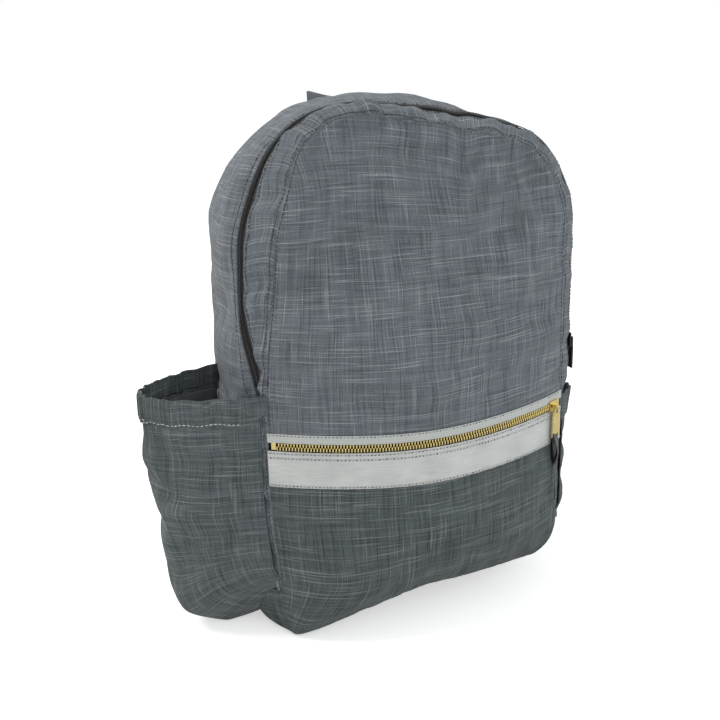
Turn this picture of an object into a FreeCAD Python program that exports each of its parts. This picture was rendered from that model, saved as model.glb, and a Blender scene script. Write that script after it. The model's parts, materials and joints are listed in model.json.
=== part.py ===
import FreeCAD, Part
import math
import os
import Sketcher
from FreeCAD import Placement, Rotation, Vector

# A day pack standing upright.  +Z is up, the front faces -Y, +X is to the right seen from the
# front, and the origin is the centre of the flat base.  All lengths are millimetres.

doc = FreeCAD.newDocument("Daypack")
sheet = doc.addObject("Spreadsheet::Sheet", "Size")
exports = []

SIZES = {
    # Bag body
    "body_half": 139.0,          # half width at the main zip and the back
    "body_top": 388.0,           # height of the crown
    "body_corner": 100.0,        # radius of the arch's shoulders
    "foot_corner": 28.0,         # radius along the bottom edges
    "back_face": 62.0,           # back face, measured from the middle of the depth
    "seam_face": 62.0,           # front seam, measured forward from the same middle
    "front_half": 125.0,         # half width of the front panel at its seam
    "front_top": 383.0,
    "front_corner": 90.0,
    "belly_rise": 36.0,          # how far the stuffed front stands out of its seam
    "belly_low": 60.0,           # the front is fullest from here ...
    "belly_high": 150.0,         # ... up to here
    "fabric": 1.5,               # outer cloth with its lining and seam allowance
    "tray_rise": 35.0,           # height at which the bottom panel meets the gussets
    # Back
    "foam_thick": 6.0,
    "lining_thick": 1.0,
    # Opening flap and main zip
    "fold_level": 178.0,         # the front folds down along this line
    "fold_gap": 0.3,
    "zip_depth": 44.0,           # main zip's centre line, forward of the middle
    "zip_parting": 1.6,          # space between the two rows, where a slider's neck runs
    "coil_width": 2.0,
    "coil_thick": 3.1,
    "coil_proud": 0.5,
    "tape_width": 5.0,
    "tape_thick": 1.0,
    # Front pocket's zip, ribbon and lining
    "chain_level": 143.9,        # centre of the front zip's teeth
    "front_coil_proud": 0.9,
    "ribbon_low": 115.0,
    "ribbon_thick": 0.7,
    "lay_gap": 0.1,              # left between trims and the cloth they are sewn to
    "ribbon_lap": 0.5,           # how far the ribbon covers the panel's raw top edge
    "upper_tape_top": 154.0,
    "under_tape_low": 128.0,
    "under_tape_thick": 0.8,
    "panel_lip": 1.3,            # from the lower teeth down to the panel's edge
    "pouch_depth": 16.0,
    "chain_inset": 4.0,          # from the front panel's side in to the end of the zip
    "stop_length": 3.0,
    # Side pockets
    "left_pocket_top": 183.0,
    "right_pocket_top": 150.0,   # empty, its elastic mouth sags lower
    "pocket_low": 2.0,
    "pocket_front": 60.0,
    "pocket_back": 32.0,
    "left_bulge": 76.0,
    "right_bulge": 16.0,
    "pocket_fabric": 1.2,
    "hem_width": 18.0,
    "hem_thick": 3.0,
    "elastic_thick": 1.0,
    "elastic_width": 12.0,
    # Sliders and pulls
    "slider_length": 12.0,
    "slider_width": 9.0,
    "slider_plate": 1.2,
    "slider_clear": 0.3,
    "neck_thick": 1.0,
    "neck_length": 3.0,
    "lug_size": 3.0,
    "lug_rise": 3.6,
    "pin_radius": 0.8,
    "pin_clear": 0.06,
    "fork_arm": 1.2,
    "fork_reach": 6.0,
    "pull_thick": 1.4,
    "front_pull_length": 20.0,
    "front_pull_width": 10.0,
    "tail_length": 58.0,         # ribbon tail held in the front pull's clasp
    "tail_width": 8.0,
    "main_pull_length": 19.0,
    "main_pull_width": 7.0,
    "main_slider_level": 190.0,
    "front_slider_setback": 9.0, # from the end of the zip in to the shut slider
    # Grab handle
    "handle_half": 45.0,
    "handle_bow": 22.0,
    "handle_width": 25.0,
    "handle_thick": 2.5,
    "handle_level": 379.0,
    "handle_clear": 0.4,
    # Shoulder straps
    "root_place": 48.0,          # sideways place of a strap's upper end
    "root_level": 350.0,
    "anchor_inset": 27.0,        # from the bag's side in to a strap's lower end
    "anchor_level": 30.0,
    "strap_width": 58.0,
    "strap_thick": 9.0,
    "strap_bow": 36.0,
    "strap_cover": 1.2,
    "strap_cut": 26.0,           # length of the sewn-down upper end
    "strap_gap": 0.5,
    "pad_foot": 100.0,           # where the pad ends, up from the lower anchor
    "pad_foot_out": 20.0,        # how far from the back it is there
    "web_width": 25.0,
    "web_thick": 1.6,
    "anchor_length": 30.0,
    "lock_width": 33.0,
    "lock_length": 26.0,
    "lock_thick": 4.0,
    "lock_bar": 4.0,
    "loop_length": 14.0,
    "free_end": 70.0,            # webbing left hanging below a ladder lock
    "yoke_height": 30.0,
    "yoke_thick": 1.2,
}

for row, (name, value) in enumerate(SIZES.items(), start=1):
    sheet.set(f"A{row}", name)
    sheet.set(f"B{row}", str(value))
    sheet.setAlias(f"B{row}", name)
doc.recompute()


def words(expression):
    """An expression in the sheet's words, with the sheet's name put before each word."""
    out = []
    word = ""
    for letter in expression + " ":
        if letter.isalpha() or letter == "_":
            word += letter
            continue
        if word:
            out.append(f"Size.{word}" if word in SIZES else word)
            word = ""
        out.append(letter)
    return "".join(out).strip()


def value(expression):
    """The number that an expression in the sheet's words comes to."""
    return float(sheet.evalExpression(words(expression)))


def bind(thing, field, expression):
    thing.setExpression(field, words(expression))


def keep(thing, name):
    """Names a finished sub-part and lists it for export."""
    thing.Label = name
    exports.append(thing)
    return thing


def new_body(name):
    body = doc.addObject("PartDesign::Body", name)
    body.Label = name
    return body


def new_sketch(body, plane, forward=None):
    """A sketch on one of the body's own planes, moved along the plane's normal if asked."""
    sketch = body.newObject("Sketcher::SketchObject", "Outline")
    base = [item for item in body.Origin.OriginFeatures if item.Role == plane][0]
    sketch.AttachmentSupport = [(base, "")]
    sketch.MapMode = "FlatFace"
    if forward:
        bind(sketch, "AttachmentOffset.Base.z", forward)
    return sketch


def fix_point(sketch, piece, end, across, along):
    """Ties one end of a sketch line to two expressions."""
    for kind, expression in (("DistanceX", across), ("DistanceY", along)):
        if expression is None:
            continue
        place = Sketcher.Constraint(kind, -1, 1, piece, end, value(expression))
        number = sketch.addConstraint(place)
        bind(sketch, f"Constraints[{number}]", expression)


def polygon(sketch, corners):
    """A closed outline of straight lines through corners given as pairs of expressions."""
    spots = [Vector(value(a), value(b), 0) for a, b in corners]
    count = len(spots)
    lines = []
    for number in range(count):
        line = Part.LineSegment(spots[number], spots[(number + 1) % count])
        lines.append(sketch.addGeometry(line))
    for number in range(count):
        after = lines[(number + 1) % count]
        sketch.addConstraint(Sketcher.Constraint("Coincident", lines[number], 2, after, 1))
    for line, (across, along) in zip(lines, corners):
        fix_point(sketch, line, 1, across, along)


def rectangle(sketch, left, right, low, high):
    polygon(sketch, [(left, low), (right, low), (right, high), (left, high)])


def pad(body, sketch, length, midplane=False):
    feature = body.newObject("PartDesign::Pad", "Pad")
    feature.Profile = sketch
    if midplane:
        feature.Midplane = True
    bind(feature, "Length", length)
    return feature


def place(thing, across="0", depth="0", up="0", axis=None, angle=None):
    for field, expression in (("x", across), ("y", depth), ("z", up)):
        bind(thing, f"Placement.Base.{field}", expression)
    if axis:
        thing.Placement = Placement(Vector(), Rotation(Vector(*axis), value(angle)))
        bind(thing, "Placement.Rotation.Angle", angle)


def arch_run(sketch, half, foot, crown, corner):
    """One arch: up the left leg, over two round shoulders and down the right leg.

    Returns the first and the last line."""
    wide, low, high, bend = value(half), value(foot), value(crown), value(corner)
    quarter = math.pi / 2
    left = Part.LineSegment(Vector(-wide, low, 0), Vector(-wide, high - bend, 0))
    top = Part.LineSegment(Vector(-wide + bend, high, 0), Vector(wide - bend, high, 0))
    right = Part.LineSegment(Vector(wide, high - bend, 0), Vector(wide, low, 0))
    ring = Part.Circle(Vector(-wide + bend, high - bend, 0), Vector(0, 0, 1), bend)
    left_bend = Part.ArcOfCircle(ring, quarter, 2 * quarter)
    ring = Part.Circle(Vector(wide - bend, high - bend, 0), Vector(0, 0, 1), bend)
    right_bend = Part.ArcOfCircle(ring, 0, quarter)
    first, arc_left, flat, arc_right, last = [
        sketch.addGeometry(piece) for piece in (left, left_bend, top, right_bend, right)
    ]
    for one, end, other, start in (
        (first, 2, arc_left, 2),
        (arc_left, 1, flat, 1),
        (flat, 2, arc_right, 2),
        (arc_right, 1, last, 1),
    ):
        sketch.addConstraint(Sketcher.Constraint("Tangent", one, end, other, start))
    sketch.addConstraint(Sketcher.Constraint("Vertical", first))
    sketch.addConstraint(Sketcher.Constraint("Horizontal", flat))
    sketch.addConstraint(Sketcher.Constraint("Vertical", last))
    for arc in (arc_left, arc_right):
        number = sketch.addConstraint(Sketcher.Constraint("Radius", arc, bend))
        bind(sketch, f"Constraints[{number}]", corner)
    fix_point(sketch, first, 1, f"-({half})", foot)
    fix_point(sketch, last, 2, half, foot)
    fix_point(sketch, flat, 1, None, crown)
    return first, last


def band_outline(sketch, half, crown, corner, thick):
    """A bent strip seen edge on: an arch outside, the same arch a wall smaller inside."""
    outer = arch_run(sketch, half, "0", crown, corner)
    inner = arch_run(sketch, f"{half} - {thick}", "0", f"{crown} - {thick}",
                     f"{corner} - {thick}")
    for one, end in ((0, 1), (1, 2)):
        start = sketch.getPoint(outer[one], end)
        stop = sketch.getPoint(inner[one], end)
        foot = sketch.addGeometry(Part.LineSegment(start, stop))
        sketch.addConstraint(Sketcher.Constraint("Coincident", foot, 1, outer[one], end))
        sketch.addConstraint(Sketcher.Constraint("Coincident", foot, 2, inner[one], end))


def plate_outline(sketch, half, crown, corner, foot, foot_corner):
    """A closed arch-shaped outline with small round corners at its foot."""
    wide, low, bend = value(half), value(foot), value(foot_corner)
    first, last = arch_run(sketch, half, f"{foot} + {foot_corner}", crown, corner)
    quarter = math.pi / 2
    ring = Part.Circle(Vector(-wide + bend, low + bend, 0), Vector(0, 0, 1), bend)
    arc_left = sketch.addGeometry(Part.ArcOfCircle(ring, 2 * quarter, 3 * quarter))
    ring = Part.Circle(Vector(wide - bend, low + bend, 0), Vector(0, 0, 1), bend)
    arc_right = sketch.addGeometry(Part.ArcOfCircle(ring, 3 * quarter, 4 * quarter))
    line = Part.LineSegment(Vector(-wide + bend, low, 0), Vector(wide - bend, low, 0))
    flat = sketch.addGeometry(line)
    sketch.addConstraint(Sketcher.Constraint("Tangent", arc_left, 1, first, 1))
    sketch.addConstraint(Sketcher.Constraint("Tangent", arc_left, 2, flat, 1))
    sketch.addConstraint(Sketcher.Constraint("Tangent", flat, 2, arc_right, 1))
    sketch.addConstraint(Sketcher.Constraint("Tangent", arc_right, 2, last, 2))


def band(name, half, crown, corner, thick, foot, front, rear):
    """A strip of even depth bent over the arch, from its front edge to its rear edge."""
    body = new_body(name)
    sketch = new_sketch(body, "XZ_Plane")
    band_outline(sketch, half, f"{crown} - ({foot})", corner, thick)
    pad(body, sketch, f"{rear} - ({front})")
    place(body, depth=rear, up=foot)
    return body


def plate(name, front, rear, inset):
    """A flat arch-shaped sheet across the back, an even inset inside the body's outline."""
    body = new_body(name)
    sketch = new_sketch(body, "XZ_Plane")
    plate_outline(sketch, f"body_half - {inset}", f"body_top - {inset}",
                  f"body_corner - {inset}", inset, f"foot_corner - {inset}")
    pad(body, sketch, f"{rear} - ({front})")
    place(body, depth=rear)
    return body


# ---------------------------------------------------------------- front surface

BELLY_RADIUS = "(front_half * front_half + belly_rise * belly_rise) / (2 * belly_rise)"
BELLY_CENTRE = f"{BELLY_RADIUS} - belly_rise - seam_face"


def fullness(level):
    """Share of the full bulge at a height: none at the bottom edge and at the crown."""
    low, high, top = value("belly_low"), value("belly_high"), value("front_top")
    if level < low:
        return 1 - max(0.0, (1 - level / low)) ** 3
    if level > high:
        return math.cos(math.pi / 2 * min(1.0, (level - high) / (top - high))) ** 2
    return 1.0


def front_depth(across, level):
    """Depth of the outer face of the front: a round bulge inside a flat seam."""
    radius, half = value(BELLY_RADIUS), value("front_half")
    chord = math.sqrt(radius ** 2 - half ** 2)
    bulge = math.sqrt(radius ** 2 - across ** 2) - chord
    return -value("seam_face") - fullness(level) * bulge


def skin_patch(name, inward, thick, low, high, half):
    """A slab of the front between two heights, its outer face set inward from the front."""
    columns, rows = 13, 15
    bottom, top, wide = value(low), value(high), value(half)
    grid = []
    for row in range(rows):
        level = bottom + (top - bottom) * row / (rows - 1)
        line = []
        for column in range(columns):
            across = wide * (2 * column / (columns - 1) - 1)
            line.append(Vector(across, front_depth(across, level) + value(inward), level))
        grid.append(line)
    surface = Part.BSplineSurface()
    surface.interpolate(grid)
    patch = doc.addObject("Part::Feature", name)
    patch.Shape = surface.toShape().extrude(Vector(0, value(thick), 0))
    return patch


def common(name, one, other):
    shape = doc.addObject("Part::Common", name)
    shape.Base = one
    shape.Tool = other
    return shape


def cut(name, one, other):
    shape = doc.addObject("Part::Cut", name)
    shape.Base = one
    shape.Tool = other
    return shape


def front_core(name, inset):
    """The room inside the front seam, as a long block that trims what is cut from the skin."""
    body = new_body(name)
    sketch = new_sketch(body, "XZ_Plane")
    plate_outline(sketch, f"front_half - {inset}", f"front_top - {inset}",
                  f"front_corner - {inset}", inset, f"foot_corner - {inset}")
    pad(body, sketch, "2 * seam_face + belly_rise")
    return body


def arc_strip(name, outward, thick, low, high, end):
    """A strip bent round the belly's own vertical axis, as wide as from -end to end."""
    body = new_body(name)
    sketch = new_sketch(body, "YZ_Plane")
    face = f"({BELLY_RADIUS} + {outward})"
    rectangle(sketch, f"-{face}", f"-({face} - ({thick}))", low, high)
    turn = body.newObject("PartDesign::Revolution", "Bend")
    turn.Profile = sketch
    turn.ReferenceAxis = ([a for a in body.Origin.OriginFeatures if a.Role == "Z_Axis"][0], [""])
    turn.Midplane = True
    bind(turn, "Angle", f"2 * asin(({end}) / ({BELLY_RADIUS}))")
    place(body, depth=BELLY_CENTRE)
    return body


# ---------------------------------------------------------------- bag shell

LOWER_TEETH_TOP = "chain_level - zip_parting / 2"
LOWER_TEETH_LOW = f"{LOWER_TEETH_TOP} - coil_width"
UPPER_TEETH_LOW = "chain_level + zip_parting / 2"
UPPER_TEETH_TOP = f"{UPPER_TEETH_LOW} + coil_width"
CHAIN_END = "(front_half - chain_inset)"
LOWER_PANEL_TOP = f"{LOWER_TEETH_LOW} - panel_lip"
REAR_COIL_FRONT = "zip_parting / 2 - zip_depth"
REAR_COIL_BACK = f"{REAR_COIL_FRONT} + coil_width"
REAR_TAPE_BACK = f"{REAR_COIL_BACK} + tape_width"
FRONT_COIL_BACK = "-zip_parting / 2 - zip_depth"
FRONT_COIL_FRONT = f"{FRONT_COIL_BACK} - coil_width"
FRONT_TAPE_FRONT = f"{FRONT_COIL_FRONT} - tape_width"
SEAM_BACK = "fabric - seam_face"
INSIDE_BACK = "back_face - fabric"


def back_pieces():
    """Outer cloth, foam sheet and lining of the back, laid flat on each other."""
    keep(plate("back_panel", INSIDE_BACK, "back_face", "0"), "back_panel")
    foam_front = f"{INSIDE_BACK} - foam_thick"
    keep(plate("back_foam", foam_front, INSIDE_BACK, "fabric"), "back_foam")
    keep(plate("back_lining", f"{foam_front} - lining_thick", foam_front, "fabric"), "back_lining")


def side_pieces():
    """The gusset behind the main zip, and the short gussets in front of it below the fold."""
    keep(band("rear_gusset", "body_half", "body_top", "body_corner", "fabric", "tray_rise",
              REAR_TAPE_BACK, INSIDE_BACK), "rear_gusset")
    for side, sign in (("left", "-1"), ("right", "1")):
        body = new_body(f"{side}_front_gusset")
        sketch = new_sketch(body, "XY_Plane")
        outer = [("body_half", REAR_TAPE_BACK), ("body_half", FRONT_TAPE_FRONT),
                 ("front_half", SEAM_BACK)]
        inner = [(f"{half} - fabric", depth) for half, depth in reversed(outer)]
        polygon(sketch, [(f"{sign} * ({half})", depth) for half, depth in outer + inner])
        pad(body, sketch, "fold_level - fold_gap - tray_rise")
        place(body, up="tray_rise")
        keep(body, f"{side}_front_gusset")


def bottom_piece():
    """The bottom: a shallow tray that turns up at both sides and narrows at the front."""
    body = new_body("bottom_panel")
    rear = new_sketch(body, "XZ_Plane")
    band_outline(rear, "body_half", "tray_rise", "foot_corner", "fabric")
    pad(body, rear, f"{INSIDE_BACK} - ({FRONT_TAPE_FRONT})")
    joint = new_sketch(body, "XZ_Plane", f"{INSIDE_BACK} - ({FRONT_TAPE_FRONT})")
    band_outline(joint, "body_half", "tray_rise", "foot_corner", "fabric")
    nose = new_sketch(body, "XZ_Plane", f"{INSIDE_BACK} - ({SEAM_BACK})")
    band_outline(nose, "front_half", "tray_rise", "foot_corner", "fabric")
    loft = body.newObject("PartDesign::AdditiveLoft", "Narrowing")
    loft.Profile = joint
    loft.Sections = [nose]
    loft.Ruled = True
    place(body, depth=INSIDE_BACK, up="tray_rise", axis=(0, 1, 0), angle="180")
    keep(body, "bottom_panel")


def front_pieces():
    """The front cloth below the zip, the strip above it and the pocket's lining behind."""
    core = front_core("seam_outline", "0")
    lower = skin_patch("lower_cloth", "0", "fabric", "0", LOWER_PANEL_TOP, "front_half")
    keep(common("lower_front_panel", lower, core), "lower_front_panel")
    strip = skin_patch("front_strip", "0", "fabric", f"{UPPER_TEETH_TOP} + panel_lip",
                       "fold_level - fold_gap", "front_half")
    keep(strip, "front_strip")
    pouch_core = front_core("pouch_outline", "fabric")
    pouch = skin_patch("pouch_cloth", "pouch_depth", "lining_thick", "fabric",
                       "fold_level - fold_gap", "front_half")
    keep(common("front_pocket_lining", pouch, pouch_core), "front_pocket_lining")
    keep(arc_strip("ribbon_band", "ribbon_thick + lay_gap", "ribbon_thick", "ribbon_low",
                   f"{LOWER_PANEL_TOP} + ribbon_lap", "front_half"), "ribbon_band")
    keep(arc_strip("front_zip_upper_tape", "ribbon_thick + lay_gap", "ribbon_thick", UPPER_TEETH_TOP,
                   "upper_tape_top", "front_half"), "front_zip_upper_tape")
    keep(arc_strip("front_zip_lower_tape", "-(fabric + lay_gap)", "under_tape_thick", "under_tape_low",
                   LOWER_TEETH_LOW, CHAIN_END), "front_zip_lower_tape")


FRONT_TEETH_THICK = "(front_coil_proud + fabric + lay_gap + under_tape_thick)"


def front_zip_metal():
    """Two rows of teeth and the stops that close the chain at both ends."""
    teeth_end = f"{CHAIN_END} - stop_length"
    keep(arc_strip("front_zip_lower_teeth", "front_coil_proud", FRONT_TEETH_THICK,
                   LOWER_TEETH_LOW, LOWER_TEETH_TOP, teeth_end), "front_zip_lower_teeth")
    keep(arc_strip("front_zip_upper_teeth", "front_coil_proud", FRONT_TEETH_THICK,
                   UPPER_TEETH_LOW, UPPER_TEETH_TOP, teeth_end), "front_zip_upper_teeth")
    bar = arc_strip("stop_bar", "front_coil_proud", FRONT_TEETH_THICK, LOWER_TEETH_LOW,
                    UPPER_TEETH_TOP, CHAIN_END)
    middle = arc_strip("stop_middle", "front_coil_proud + fabric",
                       f"{FRONT_TEETH_THICK} + 2 * fabric", f"{LOWER_TEETH_LOW} - fabric",
                       f"{UPPER_TEETH_TOP} + fabric", teeth_end)
    keep(cut("front_zip_stops", bar, middle), "front_zip_stops")


def main_zip_rows():
    """The two rows and tapes of the main zip, bent over the arch down to the fold."""
    foot = "fold_level"
    coil_half = "body_half + coil_proud"
    coil_top = "body_top + coil_proud"
    coil_corner = "body_corner + coil_proud"
    keep(band("main_zip_rear_tape", "body_half", "body_top", "body_corner", "tape_thick", foot,
              REAR_COIL_BACK, REAR_TAPE_BACK), "main_zip_rear_tape")
    keep(band("main_zip_rear_coil", coil_half, coil_top, coil_corner, "coil_thick", foot,
              REAR_COIL_FRONT, REAR_COIL_BACK), "main_zip_rear_coil")
    keep(band("main_zip_front_coil", coil_half, coil_top, coil_corner, "coil_thick", foot,
              FRONT_COIL_FRONT, FRONT_COIL_BACK), "main_zip_front_coil")
    keep(band("main_zip_front_tape", "body_half", "body_top", "body_corner", "tape_thick", foot,
              FRONT_TAPE_FRONT, FRONT_COIL_FRONT), "main_zip_front_tape")


def main_zip_stops():
    """A stop across both rows at each end of the main zip, just below the fold."""
    for side, sign in (("left", "-1"), ("right", "1")):
        body = new_body(f"main_zip_stop_{side}")
        sketch = new_sketch(body, "XY_Plane")
        rectangle(sketch, f"{sign} * body_half", f"{sign} * (body_half + tape_thick)",
                  FRONT_COIL_FRONT, REAR_COIL_BACK)
        pad(body, sketch, "stop_length")
        place(body, up="fold_level - fold_gap - stop_length")
        keep(body, f"main_zip_stop_{side}")


def flap_pieces():
    """The front cloth above the fold and its crescent gusset in front of the main zip."""
    core = front_core("flap_outline", "0")
    upper = skin_patch("upper_cloth", "0", "fabric", "fold_level", "front_top", "front_half")
    keep(common("upper_front_panel", upper, core), "upper_front_panel")
    body = new_body("flap_gusset")
    rear = new_sketch(body, "XZ_Plane")
    band_outline(rear, "body_half", "body_top - fold_level", "body_corner", "fabric")
    nose = new_sketch(body, "XZ_Plane", f"{FRONT_TAPE_FRONT} - ({SEAM_BACK})")
    band_outline(nose, "front_half", "front_top - fold_level", "front_corner", "fabric")
    loft = body.newObject("PartDesign::AdditiveLoft", "Narrowing")
    loft.Profile = rear
    loft.Sections = [nose]
    loft.Ruled = True
    place(body, depth=FRONT_TAPE_FRONT, up="fold_level")
    keep(body, "flap_gusset")


# ---------------------------------------------------------------- side pockets


def pocket_share(level, top):
    """How far a pocket stands out at a height, as a share of its bulge at the mouth."""
    down = min(1.0, max(0.0, (top - level) / (top - value("pocket_low"))))
    return 1 - 0.75 * down ** 2.4


def pocket_section(level, top, bulge, inset, side):
    """A closed section: straight into the bag's side, round and full on the outside."""
    front = -value("pocket_front") + inset
    back = value("pocket_back") - inset
    inner = value("front_half") - value("belly_rise")
    start = value("body_half")
    reach = bulge * pocket_share(level, top) - inset
    middle, spread = (front + back) / 2, (back - front) / 2
    points = []
    steps = 12
    for step in range(steps + 1):
        turn = math.pi * (step / steps - 0.5)
        swell = math.cos(turn) ** 0.7 if 0 < step < steps else 0.0
        points.append(Vector(side * (start + reach * swell),
                             middle + spread * math.sin(turn), level))
    curve = Part.BSplineCurve()
    curve.interpolate(points)
    front_end = Vector(side * inner, front, level)
    back_end = Vector(side * inner, back, level)
    edges = [Part.LineSegment(front_end, points[0]).toShape(), curve.toShape(),
             Part.LineSegment(points[-1], back_end).toShape(),
             Part.LineSegment(back_end, front_end).toShape()]
    return Part.Wire(edges)


def pocket_block(top, bulge, inset, low, high, side):
    """A solid block that fills one pocket between two heights, inset from its outer face."""
    count = 6
    levels = [low + (high - low) * step / (count - 1) for step in range(count)]
    wires = [pocket_section(level, top, bulge, inset, side) for level in levels]
    return Part.makeLoft(wires, True, False)


def pocket_pieces(side_name, side):
    """One pocket: a cup of cloth, a folded hem round its mouth and the elastic inside it."""
    top, bulge = value(f"{side_name}_pocket_top"), value(f"{side_name}_bulge")
    cloth, hem, low = value("pocket_fabric"), value("hem_thick"), value("pocket_low")
    fold = value("(hem_thick - elastic_thick) / 2")
    hem_low, elastic_top = top - value("hem_width"), top - fold
    elastic_low = elastic_top - value("elastic_width")
    room, play = 2 * hem, value("lay_gap")

    def ring(outer, inner, ring_low, ring_high):
        """The wall between two insets, open above and below."""
        block = pocket_block(top, bulge, outer, ring_low, ring_high, side)
        return block.cut(pocket_block(top, bulge, inner, ring_low - room, ring_high + room, side))

    cup = pocket_block(top, bulge, 0, low, hem_low, side)
    cup = cup.cut(pocket_block(top, bulge, cloth, low + cloth, hem_low + room, side))
    channel = ring(fold, hem - fold, hem_low - hem, elastic_top)
    shapes = {
        "pocket": cup,
        "pocket_hem": ring(0, hem, hem_low, top).cut(channel),
        "pocket_elastic": ring(fold + play, hem - fold - play, elastic_low, elastic_top - play),
    }
    for name, shape in shapes.items():
        raw = doc.addObject("Part::Feature", f"{side_name}_{name}_raw")
        raw.Shape = shape
        keep(cut(f"{side_name}_{name}", raw, bag_outside), f"{side_name}_{name}")


def bag_block():
    """The whole bag as one block up to the pockets' mouths, to trim what is sewn to it."""
    body = new_body("bag_block")
    rear = new_sketch(body, "XZ_Plane")
    outline = ("body_half", "body_top", "body_corner", "0", "foot_corner")
    plate_outline(rear, *outline)
    pad(body, rear, f"back_face - ({FRONT_TAPE_FRONT})")
    joint = new_sketch(body, "XZ_Plane", f"back_face - ({FRONT_TAPE_FRONT})")
    plate_outline(joint, *outline)
    nose = new_sketch(body, "XZ_Plane", f"back_face - ({SEAM_BACK})")
    plate_outline(nose, "front_half", "front_top", "front_corner", "0", "foot_corner")
    loft = body.newObject("PartDesign::AdditiveLoft", "Narrowing")
    loft.Profile = joint
    loft.Sections = [nose]
    loft.Ruled = True
    place(body, depth="back_face")
    return body


# ---------------------------------------------------------------- sliders and pulls


PIN_RISE = "slider_clear + slider_plate + lug_rise - lug_size / 2"


def slider(name, coil_thick, bore_plane):
    """A slider in its own frame: the chain runs along X, Z points away from the bag.

    Z is 0 at the teeth's outer face.  Two plates are joined by a neck between the rows, and a
    lug stands on the outer plate, bored square to the given plane."""
    body = new_body(name)
    half = "slider_length / 2"
    wide = "slider_width / 2"
    top = new_sketch(body, "XY_Plane", "slider_clear")
    rectangle(top, f"-{half}", half, f"-{wide}", wide)
    pad(body, top, "slider_plate")
    neck = new_sketch(body, "XY_Plane", f"-({coil_thick} + slider_clear + slider_plate)")
    rectangle(neck, f"{half} - neck_length", half, "-neck_thick / 2", "neck_thick / 2")
    pad(body, neck, f"{coil_thick} + 2 * slider_clear + 1.5 * slider_plate")
    under = new_sketch(body, "XY_Plane", f"-({coil_thick} + slider_clear + slider_plate)")
    rectangle(under, f"-{half}", half, f"-{wide}", wide)
    pad(body, under, "slider_plate")
    lug = new_sketch(body, "XY_Plane", "slider_clear")
    rectangle(lug, "-lug_size / 2", "lug_size / 2", "-lug_size / 2", "lug_size / 2")
    pad(body, lug, "slider_plate + lug_rise")
    bore = new_sketch(body, bore_plane)
    ring = Part.Circle(Vector(0, value(PIN_RISE), 0), Vector(0, 0, 1), value("pin_radius"))
    circle = bore.addGeometry(ring)
    number = bore.addConstraint(Sketcher.Constraint("Radius", circle, ring.Radius))
    bind(bore, f"Constraints[{number}]", "pin_radius + pin_clear")
    fix_point(bore, circle, 3, "0", PIN_RISE)
    pocket = body.newObject("PartDesign::Pocket", "Bore")
    pocket.Profile = bore
    pocket.Type = "ThroughAll"
    pocket.Midplane = True
    return body


def pull(name, length, width):
    """A pull in its own frame: its pin lies on Y through the origin, its plate hangs to -X."""
    body = new_body(name)
    inner = "lug_size / 2 + slider_clear"
    outer = f"{inner} + fork_arm"
    reach = "-fork_reach"
    end = f"-fork_reach - {length}"
    sketch = new_sketch(body, "XY_Plane")
    polygon(sketch, [
        ("pin_radius", f"-({outer})"), ("pin_radius", f"-({inner})"), (reach, f"-({inner})"),
        (reach, inner), ("pin_radius", inner), ("pin_radius", outer),
        (f"{reach} + fork_arm", outer), (f"{reach} - fork_arm", f"{width} / 2"),
        (end, f"{width} / 2"), (end, f"-{width} / 2"),
        (f"{reach} - fork_arm", f"-{width} / 2"), (f"{reach} + fork_arm", f"-({outer})"),
    ])
    pad(body, sketch, "pull_thick", midplane=True)
    bar = new_sketch(body, "XZ_Plane")
    ring = Part.Circle(Vector(0, 0, 0), Vector(0, 0, 1), value("pin_radius"))
    circle = bar.addGeometry(ring)
    number = bar.addConstraint(Sketcher.Constraint("Radius", circle, ring.Radius))
    bind(bar, f"Constraints[{number}]", "pin_radius")
    fix_point(bar, circle, 3, "0", "0")
    pad(body, bar, f"2 * ({outer})", midplane=True)
    return body


def tail(name, start, length, width):
    """A doubled ribbon that carries on from a pull's plate, in the pull's own frame."""
    body = new_body(name)
    sketch = new_sketch(body, "XY_Plane")
    rectangle(sketch, f"{start} - {length}", start, f"-{width} / 2", f"{width} / 2")
    pad(body, sketch, "pull_thick", midplane=True)
    return body


def frame_of(along, outward):
    """Rotation that turns a slider's or pull's own X and Z to the two given directions."""
    return Rotation(along, outward.cross(along), outward, "XZY")


def sliders_and_pulls():
    """The front slider shut at the right-hand end, and the main slider low on the right."""
    up = Vector(0, 0, 1)
    radius = value(BELLY_RADIUS)
    turn = math.asin(value(f"{CHAIN_END} - front_slider_setback") / radius)
    outward = Vector(math.sin(turn), -math.cos(turn), 0)
    along = Vector(math.cos(turn), math.sin(turn), 0)
    spot = Vector(0, value(BELLY_CENTRE), value("chain_level"))
    spot += outward * (radius + value("front_coil_proud"))
    body = keep(slider("front_slider", FRONT_TEETH_THICK, "YZ_Plane"), "front_slider")
    body.Placement = Placement(spot, frame_of(along, outward))
    hang = Placement(spot + outward * value(PIN_RISE), frame_of(up, outward))
    body = keep(pull("front_pull", "front_pull_length", "front_pull_width"), "front_pull")
    body.Placement = hang
    body = tail("front_pull_tail", "-fork_reach - front_pull_length", "tail_length", "tail_width")
    keep(body, "front_pull_tail").Placement = hang
    outward = Vector(1, 0, 0)
    spot = Vector(value("body_half + coil_proud"), -value("zip_depth"),
                  value("main_slider_level"))
    body = keep(slider("main_slider", "coil_thick", "XZ_Plane"), "main_slider")
    body.Placement = Placement(spot, frame_of(up, outward))
    body = keep(pull("main_pull", "main_pull_length", "main_pull_width"), "main_pull")
    body.Placement = Placement(spot + outward * value(PIN_RISE), frame_of(up, outward))


# ---------------------------------------------------------------- handle and shoulder straps


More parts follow.
